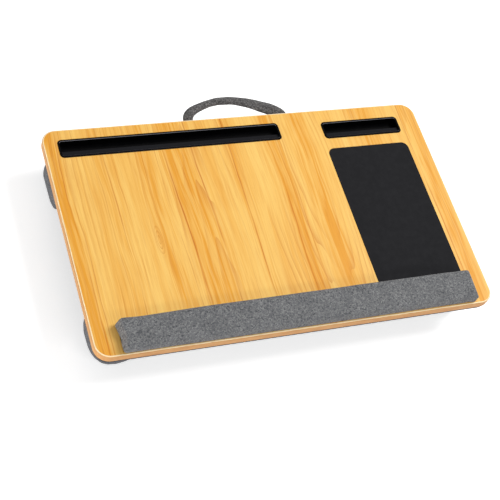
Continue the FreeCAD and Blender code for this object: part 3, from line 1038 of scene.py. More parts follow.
@dataclass(frozen=True)
class SteelFinish(Finish):
    """Zinc-plated steel with a brushed lie and dull patches.

    Attributes:
        tone: The plating's colour.
        dull: The colour of its dull patches.
    """

    tone: Colour
    dull: Colour
    patches: Mottle = Mottle(420.0, detail=3, levels=(0.4, 0.7))
    patch_dulled: float = 0.2
    brushing: Mottle = Mottle((300.0, 4000.0, 4000.0))
    relief: float = 0.01 * MM

    def make(self) -> bpy.types.Material:
        """Makes the steel's material.

        Returns:
            The material.
        """
        material, w, surface, place = self.open()
        brushed, patch = w.noise(place, self.brushing), w.noise(place, self.patches)
        w.feed(surface["Base Color"], w.mixed(w.shown(patch, self.patches), self.tone, self.dull))
        w.feed(surface["Roughness"], w.raised(self.roughness, patch, self.patch_dulled))
        w.feed(surface["Metallic"], 1.0)
        w.feed(surface["Normal"], w.bump(brushed, self.relief))
        return material


LAMINATE = WoodFinish("Laminate", 0.42, pale=srgb(255, 209, 115), warm=srgb(238, 166, 54),
                      dark=srgb(200, 108, 20))
BALANCE_SHEET = WoodFinish("Balance sheet", 0.6, pale=srgb(206, 176, 128), warm=srgb(190, 152, 100),
                           dark=srgb(150, 110, 66))
# Its last, near-white colour is a painted highlight along the band's top edge.
EDGE_BAND = BandFinish("Edge band", 0.5, face=srgb(214, 158, 94), line=srgb(186, 124, 66),
                       highlight_colour=srgb(255, 232, 186))
REST_CLOTH = ClothFinish("Wrist rest cloth", 0.85, yarn=srgb(112, 113, 115), pale=srgb(160, 160, 158),
                         dark=srgb(54, 56, 61))
CUSHION_CLOTH = ClothFinish("Cushion cloth", 0.88, yarn=srgb(98, 99, 102), pale=srgb(136, 136, 138),
                            dark=srgb(52, 54, 58))
STRAP_CLOTH = ClothFinish("Strap cloth", 0.88, yarn=srgb(88, 86, 86), pale=srgb(150, 148, 146),
                          dark=srgb(26, 26, 28), pitch=0.8 * MM)
BASE_CLOTH = ClothFinish("Base cloth", 0.9, yarn=srgb(54, 55, 58), pale=srgb(80, 80, 82),
                         dark=srgb(30, 31, 34))
# The last two colours are painted: a lighter grey on the ledges standing in for light falling on them, and a
# light grey glint on the inner edges of the rims.
TRAY_PLASTIC = TrayFinish("Tray plastic", 0.2, tone=srgb(3, 3, 4), marked=srgb(7, 7, 8), pitch=1.1 * MM,
                          relief=0.006 * MM, specular=0.045, painted_ledge_light=srgb(27, 27, 30), painted_highlight=srgb(98, 98, 102))
PAD_SHEET = MouldedFinish("Mouse pad sheet", 0.7, tone=srgb(36, 36, 38), marked=srgb(42, 42, 44),
                          pitch=0.7 * MM, relief=0.04 * MM, specular=0.03)
ADHESIVE = FibreFinish("Adhesive film", 0.45, tone=srgb(214, 206, 186), broken=srgb(190, 180, 158),
                       scale=160.0, relief=0.02 * MM)
CORE_BOARD = FibreFinish("Fibreboard core", 0.85, tone=srgb(176, 140, 98), broken=srgb(146, 110, 72),
                         scale=900.0, relief=0.08 * MM)
HARDBOARD = FibreFinish("Hardboard", 0.75, tone=srgb(120, 84, 56), broken=srgb(94, 62, 40), scale=700.0,
                        relief=0.06 * MM)
FOAM = FibreFinish("Foam", 0.95, tone=srgb(206, 200, 180), broken=srgb(176, 168, 146), scale=600.0,
                   relief=0.2 * MM)
STAPLE_STEEL = SteelFinish("Staple steel", 0.3, tone=srgb(190, 192, 196), dull=srgb(150, 152, 156))
SCREW_STEEL = SteelFinish("Screw steel", 0.28, tone=srgb(182, 184, 190), dull=srgb(128, 130, 136))


# ---- modelling -----------------------------------------------------------------------------------
class Element(Enum):
    """What is picked in edit mode."""

    VERTEX = (True, False, False)
    EDGE = (False, True, False)
    FACE = (False, False, True)


def clear_selection() -> None:
    """Leaves nothing selected."""
    for each in bpy.context.selected_objects:
        each.select_set(False)


def work_on(obj: bpy.types.Object) -> None:
    """Makes one object the only one selected, and the active one.

    Args:
        obj: The object.
    """
    clear_selection()
    obj.select_set(True)
    bpy.context.view_layer.objects.active = obj


def vertex_places(mesh: bpy.types.Mesh) -> np.ndarray:
    """Reads where a mesh's vertices are.

    Args:
        mesh: The mesh.

    Returns:
        Their places, one row each.
    """
    places = np.empty(len(mesh.vertices) * 3)
    mesh.vertices.foreach_get("co", places)
    return places.reshape(-1, 3)


def uneven(*place: float) -> float:
    """Returns how high or low a soft surface lies at a place, about -1 to 1."""
    return noise.noise(Vector(place))


class Workpiece:
    """One mesh that is shaped step by step with Blender's own operators."""

    def __init__(self, name: str, maker: Callable[..., object], **settings: object) -> None:
        """Adds the primitive and settles its place into its mesh.

        Args:
            name: The piece's name.
            maker: The operator that adds the primitive.
            **settings: The operator's settings.
        """
        clear_selection()
        maker(**settings)
        self.obj = bpy.context.object
        self.obj.name = name
        self.obj.data.name = name
        self.settle()

    @classmethod
    def block(cls, name: str, low: Vector, high: Vector) -> "Workpiece":
        """Returns a box between two corners, to be shaped further."""
        place, size = (low + high) / 2, high - low
        return cls(name, bpy.ops.mesh.primitive_cube_add, size=1.0, location=place, scale=size)

    def settle(self) -> None:
        """Moves the object's place, turn and size into its mesh."""
        work_on(self.obj)
        bpy.ops.object.transform_apply(location=True, rotation=True, scale=True)

    def pick(self, kind: Element, test: PlaceTest) -> None:
        """Selects the elements that the test accepts.

        Args:
            kind: Vertices, edges or faces.
            test: Takes an element's middle, and its normal or an edge's direction.
        """
        mesh = self.obj.data
        bpy.context.tool_settings.mesh_select_mode = kind.value
        for group in (mesh.vertices, mesh.edges, mesh.polygons):
            group.foreach_set("select", [False] * len(group))
        if kind is Element.VERTEX:
            chosen = [(v, v.co, v.normal) for v in mesh.vertices]
        elif kind is Element.EDGE:
            ends = [[mesh.vertices[i].co for i in edge.vertices] for edge in mesh.edges]
            chosen = [(e, (a + b) / 2, (b - a).normalized()) for e, (a, b) in zip(mesh.edges, ends)]
        else:
            chosen = [(p, p.center, p.normal) for p in mesh.polygons]
        for element, middle, direction in chosen:
            element.select = bool(test(middle, direction))

    def pick_along(self, axis: int) -> None:
        """Selects the edges that run along an axis: 0, 1 or 2 for X, Y or Z."""
        self.pick(Element.EDGE, lambda at, along: abs(along[axis]) > ALONG_AXIS)

    def pick_level(self, low: float, high: float) -> None:
        """Selects the edges that run level between two heights."""
        self.pick(Element.EDGE, lambda at, along: abs(along.z) < ACROSS_AXIS and low < at.z < high)

    def work(self, operator: Callable[..., object], **settings: object) -> None:
        """Runs one edit-mode operator on what is picked.

        Args:
            operator: The operator.
            **settings: Its settings.
        """
        work_on(self.obj)
        bpy.ops.object.mode_set(mode="EDIT")
        operator(**settings)
        bpy.ops.object.mode_set(mode="OBJECT")

    def everything(self, operator: Callable[..., object], **settings: object) -> None:
        """Runs one edit-mode operator on the whole mesh."""
        self.pick(Element.FACE, lambda middle, normal: True)
        self.work(operator, **settings)

    def round_off(self, width: float, segments: int) -> None:
        """Rounds the picked edges."""
        self.work(bpy.ops.mesh.bevel, offset=width, segments=segments, affect="EDGES")

    def modifier(self, kind: str, **settings: object) -> None:
        """Adds a modifier and applies it.

        Args:
            kind: The modifier's type.
            **settings: Its settings.
        """
        work_on(self.obj)
        added = self.obj.modifiers.new(kind.title(), kind)
        for name, value in settings.items():
            setattr(added, name, value)
        bpy.ops.object.modifier_apply(modifier=added.name)

    def refine(self) -> None:
        """Cuts every face into four, curved with its neighbours."""
        self.modifier("SUBSURF", levels=1, render_levels=1)

    def reshape(self, rule: Rule) -> None:
        """Moves every vertex.

        Args:
            rule: Takes a vertex's place and normal, and returns where it goes.
        """
        mesh = self.obj.data
        moved = [rule(v.co.copy(), v.normal.copy()) for v in mesh.vertices]
        mesh.vertices.foreach_set("co", [part for place in moved for part in place])
        mesh.update()

    def remesh(self, voxel: float) -> None:
        """Covers the shape evenly with small faces.

        Args:
            voxel: The faces' size.
        """
        work_on(self.obj)
        self.obj.data.remesh_voxel_size = voxel
        bpy.ops.object.voxel_remesh()

    def fit(self, low: Vector, high: Vector) -> None:
        """Stretches the mesh so that it just fills the room between two corners.

        Args:
            low: The room's lowest corner.
            high: Its highest corner.
        """
        places = vertex_places(self.obj.data)
        least, most = Vector(places.min(axis=0)), Vector(places.max(axis=0))
        size, room = most - least, high - low

        def spread(at: Vector, normal: Vector) -> Vector:
            """Returns where a place comes to lie in the room."""
            return Vector([low[k] + (at[k] - least[k]) / size[k] * room[k] for k in range(3)])

        self.reshape(spread)

    def dress(self, material: bpy.types.Material) -> None:
        """Gives the piece its material."""
        self.obj.data.materials.clear()
        self.obj.data.materials.append(material)

    def clothe(self, cloth: ClothFinish, degrees: float) -> None:
        """Gives a soft piece its cloth, and a UV map in metres for the weave to follow.

        Args:
            cloth: The cloth's finish.
            degrees: The sharpest edge that is shaded smoothly.
        """
        work_on(self.obj)
        bpy.ops.object.shade_smooth_by_angle(angle=math.radians(degrees))
        self.everything(bpy.ops.uv.cube_project, cube_size=2.0, correct_aspect=False)
        self.dress(cloth.make())


@dataclass(frozen=True)
class Stuffing:
    """How a padded shell is filled out by simulated cloth.

    Attributes:
        voxel: Size of the cloth's faces.
        pressure: Push from inside.
        slack: Share by which the cloth is larger than the shell.
        cap: The furthest that a point may move.
        frames: Steps of the simulation.
    """

    voxel: float
    pressure: float
    slack: float
    cap: float
    frames: int = 20

    def fill(self, piece: Workpiece, sewn_from: float, sewn_to: float) -> None:
        """Args:
            piece: The shell.
            sewn_from: The height from which the cloth is sewn down.
            sewn_to: The height up to which it is.
        """
        piece.remesh(self.voxel)
        self._blow_up(piece.obj, sewn_from, sewn_to)
        piece.refine()

    def _blow_up(self, obj: bpy.types.Object, sewn_from: float, sewn_to: float) -> None:
        """Runs the simulation, and lets no point move further than the cap.

        Args:
            obj: The shell, covered evenly with faces.
            sewn_from: The height from which the cloth is held.
            sewn_to: The height up to which it is held.
        """
        before = vertex_places(obj.data)
        held = obj.vertex_groups.new(name="sewn")
        sewn = [v.index for v in obj.data.vertices if sewn_from < v.co.z < sewn_to]
        held.add(sewn, 1.0, "REPLACE")
        work_on(obj)
        cloth = obj.modifiers.new("Cloth", "CLOTH")
        settings = cloth.settings
        settings.vertex_group_mass = held.name
        settings.use_pressure = True
        settings.uniform_pressure_force = self.pressure
        settings.shrink_min = -self.slack
        settings.effector_weights.gravity = 0.0
        cloth.point_cache.frame_start = 1
        cloth.point_cache.frame_end = self.frames
        scene = bpy.context.scene
        for step in range(1, self.frames + 1):
            scene.frame_set(step)
        bpy.ops.object.modifier_apply(modifier=cloth.name)
        scene.frame_set(1)
        move = vertex_places(obj.data) - before
        length = np.linalg.norm(move, axis=1, keepdims=True)
        move *= np.minimum(1.0, self.cap / np.maximum(length, TINY))
        obj.data.vertices.foreach_set("co", (before + move).ravel())
        obj.data.update()
        obj.vertex_groups.clear()


# ---- the wrist rest ---------------------------------------------------------------------------------
@dataclass
class WristRest:
    """The padded rest across the board's front edge, its left end tucked in by hand.

    A share of the depth is 0 at the front and 1 at the rear, one of the height is 0 at the board,
    and one of the length is 0 at the left.

    Attributes:
        front_height: Height of the front face, before the rest is filled.
        edge_round: Rounding of the edges round the top.
        end_round: Rounding of the upright corners.
        round_segments: Faces across a rounding.
        sewn_height: How far up the cloth is held while the rest is filled.
        over_front: How far the filled rest stands out in front of its solid.
        over_rear: How far it stands out behind it.
        over_top: How far it stands out above it.
        tuck_reach: How far from the left end the tuck reaches.
        waist: How far the left end is drawn in at its waist.
        foot_waist: How far it is drawn in there along the board.
        waist_place: Middle and width of the waist, as shares of the depth.
        waist_rise: Shares of the height between which the waist deepens.
        end_lean: How far the left end leans in at its top.
        lean_rise: Shares of the height over which it leans.
        front_pull: How far its front corner is pulled in.
        front_share: Shares of the depth over which that fades.
        heel_push: How far its rear foot is pushed out.
        heel_share: Shares of the depth over which that grows.
        uneven_end: Unevenness of the left end.
        corner_reach: How far from a corner the two next values reach.
        corner_fill: How far the right front corner is filled out forwards.
        rear_tuck: How far the left rear corner stands out to the left.
        crown: Height of the crown along the middle.
        bow: How far the rest bows to the rear.
        arch_start: Shares of the length over which crown and bow grow.
        arch_end: Shares of the length over which they end.
        crown_rise: Shares of the height over which the crown grows.
        bow_share: Shares of the depth over which the bow grows.
        bow_spread: How much more the rear bows than the front does.
        bow_front: How much the front bows the other way, as a share.
        ripple: Height of the ripples on top.
        skew: How far the right end is laid behind the left.
        skew_middle: Share of the length about which it is turned.
        clear: Gap between the cloth and the board.
    """

    front_height: float = 14.0 * MM
    edge_round: float = 2.2 * MM
    end_round: float = 3.4 * MM
    round_segments: int = 4
    sewn_height: float = 1.5 * MM
    over_front: float = 1.4 * MM
    over_rear: float = 1.3 * MM
    over_top: float = 1.1 * MM
    tuck_reach: float = 16.0 * MM
    waist: float = 2.6 * MM
    foot_waist: float = 0.9 * MM
    waist_place: Pair = (0.45, 0.18)
    waist_rise: Pair = (0.1, 0.4)
    end_lean: float = 3.0 * MM
    lean_rise: Pair = (0.15, 1.0)
    front_pull: float = 0.7 * MM
    front_share: Pair = (0.1, 0.3)
    heel_push: float = 1.0 * MM
    heel_share: Pair = (0.6, 0.85)
    uneven_end: float = 0.5 * MM
    corner_reach: float = 10.0 * MM
    corner_fill: float = 4.0 * MM
    rear_tuck: float = 1.2 * MM
    crown: float = 1.3 * MM
    bow: float = 0.8 * MM
    arch_start: Pair = (0.05, 0.26)
    arch_end: Pair = (0.92, 1.0)
    crown_rise: Pair = (0.4, 0.9)
    bow_share: Pair = (0.3, 1.0)
    bow_spread: float = 1.5
    bow_front: float = 0.5
    ripple: float = 0.35 * MM
    skew: float = 1.2 * MM
    skew_middle: float = 0.3
    clear: float = 0.05 * MM
    stuffing: Stuffing = Stuffing(voxel=3.0 * MM, pressure=3.0, slack=0.01, cap=0.9 * MM)

    def __post_init__(self) -> None:
        """Reads the room that the solid rest holds."""
        self.low, self.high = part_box("wrist_rest_cover")

    def build(self) -> Workpiece:
        """Makes the rest: a wedge with rounded edges, filled out and tucked.

        Returns:
            The rest.
        """
        low, high = self.low, self.high
        front_z = low.z + self.front_height
        piece = Workpiece.block("wrist_rest", low, high)
        piece.pick(Element.VERTEX, lambda at, _: at.y < (low.y + high.y) / 2 and at.z > front_z)
        piece.work(bpy.ops.transform.translate, value=(0, 0, front_z - high.z))
        piece.pick_along(UPRIGHT)
        piece.round_off(self.end_round, self.round_segments)
        piece.pick_level(low.z + NEAR, high.z + NEAR)
        piece.round_off(self.edge_round, self.round_segments)
        self.stuffing.fill(piece, low.z - NEAR, low.z + self.sewn_height)
        front, rear = Vector((0, self.over_front, 0)), Vector((0, self.over_rear, self.over_top))
        piece.fit(low - front, high + rear)
        piece.reshape(self._tuck)
        return piece

    def _tuck(self, at: Vector, normal: Vector) -> Vector:
        """Tucks the left end in and fills the right front corner, then crowns and bows the rest.

        Args:
            at: A place on the cloth.
            normal: Which way the cloth faces there.

        Returns:
            Where it comes to lie.
        """
        low, high = self.low, self.high
        up = (at.z - low.z) / (high.z - low.z)
        back = (at.y - low.y) / (high.y - low.y)
        left = 1.0 - smooth_step(0.0, self.tuck_reach, at.x - low.x)
        right = 1.0 - smooth_step(0.0, self.corner_reach, high.x - at.x)
        front = 1.0 - smooth_step(0.0, self.corner_reach, at.y - low.y)
        rear = 1.0 - smooth_step(0.0, self.corner_reach, high.y - at.y)
        at.x += left * (self._inward(at, up, back) - rear * self.rear_tuck)
        at.y = max(at.y - right * front * self.corner_fill, low.y - self.over_front)
        length = (at.x - low.x) / (high.x - low.x)
        arch = smooth_step(*self.arch_start, length) * (1.0 - smooth_step(*self.arch_end, length))
        lift = uneven(at.x * 28, at.y * 30, 1.7) * self.ripple + self.crown * arch
        at.z += lift * smooth_step(*self.crown_rise, up)
        spread = smooth_step(*self.bow_share, back) * self.bow_spread - self.bow_front
        at.y += (length - self.skew_middle) * self.skew + self.bow * arch * spread
        at.z = max(at.z, low.z + self.clear)
        return at

    def _inward(self, at: Vector, up: float, back: float) -> float:
        """Works out how far the left end is drawn in.

        Args:
            at: A place on the cloth.
            up: Its share of the height.
            back: Its share of the depth.

        Returns:
            How far to the right it is drawn.
        """
        waist = self.foot_waist + (self.waist - self.foot_waist) * smooth_step(*self.waist_rise, up)
        inward = waist * bell(back, *self.waist_place)
        inward += self.end_lean * smooth_step(*self.lean_rise, up)
        inward += self.front_pull * (1 - smooth_step(*self.front_share, back))
        inward -= self.heel_push * smooth_step(*self.heel_share, back) * (1 - up)
        return inward + uneven(at.y * 160, at.z * 120, at.x) * self.uneven_end * up

    def dress(self, piece: Workpiece) -> None:
        """Gives the rest its cloth, and says what it stands for.

        Args:
            piece: The rest.
        """
        piece.clothe(REST_CLOTH, degrees=75)
        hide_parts("wrist_rest_cover", "wrist_rest_core")
        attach(piece.obj, "desk")


# ---- the bolsters ------------------------------------------------------------------------------------
@dataclass
class Bolster:
    """One bead-filled bolster under the board, sewn to the cushion's base along its top.

    Attributes:
        node: The bolster's name, which the names of its solids start with.
        corner: Rounding of its upright corners.
        belly: How far its sides bulge past its solid.
        drawn_in: How far they are drawn in between its ends.
        right_slack: How far its front is drawn in towards its right end.
        seam_inset: Rounding of its top edges, towards the seam.
        foot_round: Rounding of its lower edges.
        corner_segments: Faces across a corner.
        seam_segments: Faces across a top edge.
        foot_segments: Faces across a lower edge.
        hollow: Distances from an end between which its sides are drawn in.
        right_reach: Distances from the right end, which is at 0, over which its front is.
        ripples: How often each ripple comes in a metre, and how high it is.
        sewn_depth: How far down from its top the cloth is sewn.
        clear: Gap between its top and the base.
    """

    node: str
    corner: float
    belly: float = 0.0
    drawn_in: float = 0.0
    right_slack: float = 0.0
    seam_inset: float = 9.0 * MM
    foot_round: float = 16.0 * MM
    corner_segments: int = 7
    seam_segments: int = 3
    foot_segments: int = 4
    hollow: Pair = (42.0 * MM, 84.0 * MM)
    right_reach: Pair = (-120.0 * MM, -50.0 * MM)
    ripples: tuple[Pair, ...] = ((32.0, 0.5 * MM), (110.0, 0.3 * MM))
    sewn_depth: float = 3.0 * MM
    clear: float = 0.1 * MM
    stuffing: Stuffing = Stuffing(voxel=5.5 * MM, pressure=3.5, slack=0.03, cap=6.0 * MM)

    def __post_init__(self) -> None:
        """Reads the room that the solid bolster holds."""
        self.low, self.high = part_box(f"{self.node}_cover")

    def build(self) -> Workpiece:
        """Makes the bolster: a rounded bag, filled out, flat where it rests and is sewn.

        Returns:
            The bolster.
        """
        low, high = self.low, self.high
        piece = Workpiece.block(self.node, low, high)
        piece.pick_along(UPRIGHT)
        piece.round_off(self.corner, self.corner_segments)
        piece.pick_level(low.z - NEAR, low.z + NEAR)
        piece.round_off(self.foot_round, self.foot_segments)
        piece.pick_level(high.z - NEAR, high.z + NEAR)
        piece.round_off(self.seam_inset, self.seam_segments)
        self.stuffing.fill(piece, high.z - self.sewn_depth, high.z + NEAR)
        swell = Vector((0, self.belly, 0))
        piece.fit(low - swell, high + swell)
        piece.reshape(self._settle)
        return piece

    def _settle(self, at: Vector, normal: Vector) -> Vector:
        """Sets the bag on the floor and under the base, drawn in along its sides between full ends.

        Args:
            at: A place on the cloth.
            normal: Which way the cloth faces there.

        Returns:
            Where it comes to lie.
        """
        middle = (self.low.y + self.high.y) / 2
        side = (at.y - middle) / (self.high.y - middle)
        right = smooth_step(*self.right_reach, at.x - self.high.x)
        at.y -= side * smooth_step(*self.hollow, self.high.x - abs(at.x)) * self.drawn_in
        at.y += right * max(-side, 0.0) * self.right_slack
        at += normal * sum(uneven(*(at * often)) * height for often, height in self.ripples)
        at.z = min(max(at.z, self.low.z), self.high.z - self.clear)
        return at

    def dress(self, piece: Workpiece) -> None:
        """Gives the bolster its cloth, and says what it stands for.

        Args:
            piece: The bolster.
        """
        piece.clothe(CUSHION_CLOTH, degrees=75)
        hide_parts(f"{self.node}_cover", f"{self.node}_fill")
        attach(piece.obj, "desk")


# ---- the cushion's base cover -------------------------------------------------------------------------
@dataclass
class BaseCover:
    """The cloth stretched under the backing board, turned up at its edge and hemmed on top.

    Attributes:
        corner: Radius of its corners.
        cell: Size of its faces.
        hem: Width of the hem on top.
        turn_up: How far each step of the turned-up edge rises, as a share of the cover's height.
        sag: How far it hangs between the bolsters.
        slack_reach: Distance from its left and right edges over which it starts to hang.
        ripple: How much the ripples add to the sag, as a share.
        cloth_thick: The cloth's thickness.
    """

    corner: float = 18.5 * MM
    cell: float = 6.0 * MM
    hem: float = 26.0 * MM
    turn_up: Pair = (0.5, 0.45)
    sag: float = 3.0 * MM
    slack_reach: float = 40.0 * MM
    ripple: float = 0.8
    cloth_thick: float = 0.8 * MM

    def __post_init__(self) -> None:
        """Reads the room that the solid cover holds, and where the bolsters end."""
        self.low, self.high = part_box("base_fabric")
        self.valley_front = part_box("front_bolster_cover")[1].y
        self.valley_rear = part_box("rear_bolster_cover")[0].y

    def build(self) -> Workpiece:
        """Makes the cover: one cloth, its underside slack between the bolsters.

        Returns:
            The cover.
        """
        low, high = self.low, self.high
        size = high - low
        piece = Workpiece(
            "base_cover",
            bpy.ops.mesh.primitive_grid_add,
            size=1.0,
            x_subdivisions=round(size.x / self.cell),
            y_subdivisions=round(size.y / self.cell),
            location=(0, (low.y + high.y) / 2, low.z),
        )
        middle = ((low.x + high.x) / 2, (low.y + high.y) / 2, low.z)
        piece.everything(bpy.ops.transform.resize, value=(size.x, size.y, 1), center_override=middle)
        piece.reshape(self._round_corner)
        rim = self._rim(piece)
        piece.pick(Element.VERTEX, lambda at, _: self._key(at) in rim)
        for rise in (*(size.z * share for share in self.turn_up), 0):
            piece.work(bpy.ops.mesh.extrude_region_move, TRANSFORM_OT_translate={"value": (0, 0, rise)})
        shrink = tuple(1 - 2 * self.hem / side for side in (size.x, size.y)) + (1.0,)
        piece.work(bpy.ops.transform.resize, value=shrink, center_override=middle)
        piece.reshape(self._slacken)
        piece.everything(bpy.ops.mesh.normals_make_consistent, inside=False)
        piece.modifier("SOLIDIFY", thickness=self.cloth_thick, offset=-1.0)
        return piece

    @staticmethod
    def _key(at: Vector) -> tuple[float, ...]:
        """Returns a place rounded off, by which its vertex is known again."""
        return tuple(round(part, PLACE_DIGITS) for part in at)

    def _rim(self, piece: Workpiece) -> set[tuple[float, ...]]:
        """Finds the sheet's open edge.

        Args:
            piece: The sheet.

        Returns:
            The rounded places of the edge's vertices.
        """
        mesh = piece.obj.data
        uses: dict[tuple[int, int], int] = {}
        for face in mesh.polygons:
            for key in face.edge_keys:
                uses[key] = uses.get(key, 0) + 1
        open_ends = {index for key, count in uses.items() if count == 1 for index in key}
        return {self._key(mesh.vertices[index].co) for index in open_ends}

    def _round_corner(self, at: Vector, normal: Vector) -> Vector:
        """Draws the grid's square corners in to round ones.

        Args:
            at: A place on the cloth.
            normal: Which way the cloth faces there.

        Returns:
            Where it comes to lie.
        """
        middle = (self.low + self.high) / 2
        half = (self.high - self.low) / 2
        dx = abs(at.x - middle.x) - (half.x - self.corner)
        dy = abs(at.y - middle.y) - (half.y - self.corner)
        if dx > 0 and dy > 0:
            share = max(dx, dy) / math.hypot(dx, dy)
            at.x = middle.x + math.copysign(half.x - self.corner + dx * share, at.x - middle.x)
            at.y = middle.y + math.copysign(half.y - self.corner + dy * share, at.y - middle.y)
        return at

    def _slacken(self, at: Vector, normal: Vector) -> Vector:
        """Lets the underside hang a little between the bolsters, with soft ripples.

        Args:
            at: A place on the cloth.
            normal: Which way the cloth faces there.

        Returns:
            Where it comes to lie.
        """
        if at.z > self.low.z + NEAR / 2:
            return at
        across = (at.y - self.valley_front) / (self.valley_rear - self.valley_front)
        if 0 < across < 1:
            inset = smooth_step(0, self.slack_reach, (self.high.x - self.low.x) / 2 - abs(at.x))
            ripple = uneven(at.x * 22, at.y * 9, 3.1) + 0.5 * uneven(at.x * 60, at.y * 26, 8.3)
            at.z -= math.sin(math.pi * across) * inset * self.sag * (1 + self.ripple * ripple)
        return at

    def dress(self, piece: Workpiece) -> None:
        """Gives the cover its cloth, and says what it stands for.

        Args:
            piece: The cover.
        """
        piece.clothe(BASE_CLOTH, degrees=50)
        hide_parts("base_fabric")
        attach(piece.obj, "desk")


# ---- the carry strap ------------------------------------------------------------------------------------
@dataclass
class CarryStrap:
    """The cloth carry strap: flat ends under the board, and a padded loop behind it.

    Attributes:
        route: The points that its middle follows, as X and Y in millimetres.
        widths: Its width in millimetres at shares of its length.
        thick: Thickness of the padded loop.
        root_thick: Thickness of its flat ends.
        right_thinner: How much thinner the loop is towards its right end.
        flat_reach: Distances from an end over which the padding grows.
        right_share: Shares of the length over which it turns into the folded right end.
        fold_depth: Depth of the fold there.
        fold_place: Middle and width of the fold, from -1 to 1 across the strap.
        seam_depth: Depth of the seam.
        seam_place: Middle and width of the seam, from -1 to 1 across the strap.
        crown_share: How much its faces are rounded towards the edges.
        side_share: How much its edges are rounded.
        crease: Height of its creases.
        wander: How far its edges wander.
        step: Length of its faces.
        cuts: Cuts across its width and its thickness.
        web_thick: Thickness of the webbing that its ends are screwed on with.
        hinge_behind: Distance of its hinge line behind the board.
        hinge_half: How far it bends on each side of that line; not used.
    """

    route: tuple[Pair, ...] = (
        (-66.0, 132.5), (-66.0, 153.0), (-64.8, 163.5), (-57.5, 171.8), (-43.5, 179.0), (-30.5, 183.2),
        (-15.5, 186.6), (-11.5, 186.9), (8.5, 185.6), (22.5, 182.8), (33.0, 179.4), (45.0, 174.0),
        (60.0, 166.8), (70.0, 161.2), (76.5, 155.8), (76.0, 149.0), (74.0, 141.0), (74.0, 132.5),
    )
    widths: tuple[Pair, ...] = (
        (0.0, 15.5), (0.1, 15.0), (0.2, 14.4), (0.29, 12.8), (0.36, 12.0), (0.45, 13.4), (0.53, 13.8),
        (0.6, 15.6), (0.71, 19.5), (0.8, 22.0), (0.87, 20.0), (0.92, 15.5), (1.0, 15.5),
    )
    thick: float = 6.6 * MM
    root_thick: float = 2.0 * MM
    right_thinner: float = 1.6 * MM
    flat_reach: Pair = (20.0 * MM, 34.0 * MM)
    right_share: Pair = (0.5, 0.85)
    fold_depth: float = 1.8 * MM
    fold_place: Pair = (-0.2, 0.2)
    seam_depth: float = 0.35 * MM
    seam_place: Pair = (0.82, 0.1)
    crown_share: float = 0.86
    side_share: float = 0.12
    crease: float = 0.8 * MM
    wander: float = 0.9 * MM
    step: float = 1.6 * MM
    cuts: tuple[int, int] = (7, 3)
    web_thick: float = 2.2 * MM
    hinge_behind: float = 4.4 * MM
    hinge_half: float = 3.5 * MM

    def __post_init__(self) -> None:
        """Works out the strap's height and the hinge line's place from the board, and leaves its length to
        be measured when it is built.
        """
        low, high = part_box("edge_band")
        self.height = low.z - self.web_thick / 2
        self.hinge_y = high.y + self.hinge_behind
        self.length = 0.0

    def build(self) -> Workpiece:
        """Makes the strap: a padded bar with creases, bent along its route.

        Returns:
            The strap.
        """
        path = self._path()
        self.length = path.data.splines[0].calc_length()
        low, high = Vector((0, -0.5, -0.5)), Vector((self.length, 0.5, 0.5))
        piece = Workpiece.block("carry_strap", low, high)
        for axis, cuts in enumerate((round(self.length / self.step), *self.cuts)):
            piece.pick_along(axis)
            piece.work(bpy.ops.mesh.subdivide, number_cuts=cuts)
        piece.reshape(self._pillow)
        piece.modifier("CURVE", object=path, deform_axis="POS_X")
        piece.refine()
        bpy.data.objects.remove(path)
        return piece

    def _path(self) -> bpy.types.Object:
        """Draws the smooth line through the route's points.

        Returns:
            The line.
        """
        clear_selection()
        bpy.ops.curve.primitive_nurbs_path_add()
        path = bpy.context.object
        curve = path.data
        curve.splines.clear()
        spline = curve.splines.new("NURBS")
        spline.points.add(len(self.route) - 1)
        for point, (x, y) in zip(spline.points, self.route):
            point.co = (x * MM, y * MM, self.height, 1.0)
        spline.order_u = 3
        spline.use_endpoint_u = True
        curve.dimensions = "3D"
        curve.twist_mode = "Z_UP"
        curve.resolution_u = 24
        path.location = (0, 0, 0)
        return path

    def _pillow(self, at: Vector, normal: Vector) -> Vector:
        """Shapes the bar's section: flat at its ends, padded along the loop, creased here and there.

        Args:
            at: A place on the bar, which is 1 wide and 1 thick.
            normal: Which way the bar faces there.

        Returns:
            Where it comes to lie.
        """
        share = at.x / self.length
        padded = smooth_step(*self.flat_reach, min(at.x, self.length - at.x))
        right = smooth_step(*self.right_share, share) * padded
        width = float(np.interp(share, *zip(*self.widths))) * MM
        thick = self.root_thick + (self.thick - self.root_thick) * padded - self.right_thinner * right
        across, up = at.y * 2, at.z * 2
        crown = math.sqrt(max(1 - self.crown_share * across * across, 0.0))
        crease = uneven(at.x * 95, across * 1.1, up * 0.6 + 2.0)
        crease += 0.5 * uneven(at.x * 230, across * 1.7, up + 7.0)
        seam = bell(across, *self.seam_place) * self.seam_depth
        fold = bell(across, *self.fold_place) * self.fold_depth * right
        at.z = up * (thick / 2 * crown + (crease * self.crease - seam) * padded - fold)
        at.y = across * width / 2 * (1 - self.side_share * up * up)
        at.y += uneven(at.x * 42, 5.0, 0.0) * self.wander * padded
        return at

    def dress(self, piece: Workpiece) -> None:
        """Gives the strap its cloth, hides the solids that it stands for, and settles its place into its
        mesh.

        Args:
            piece: The strap.
        """
        piece.clothe(STRAP_CLOTH, degrees=60)
        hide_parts("strap_sleeve", "strap_core", "left_strap_end", "right_strap_end")
        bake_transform(piece.obj)


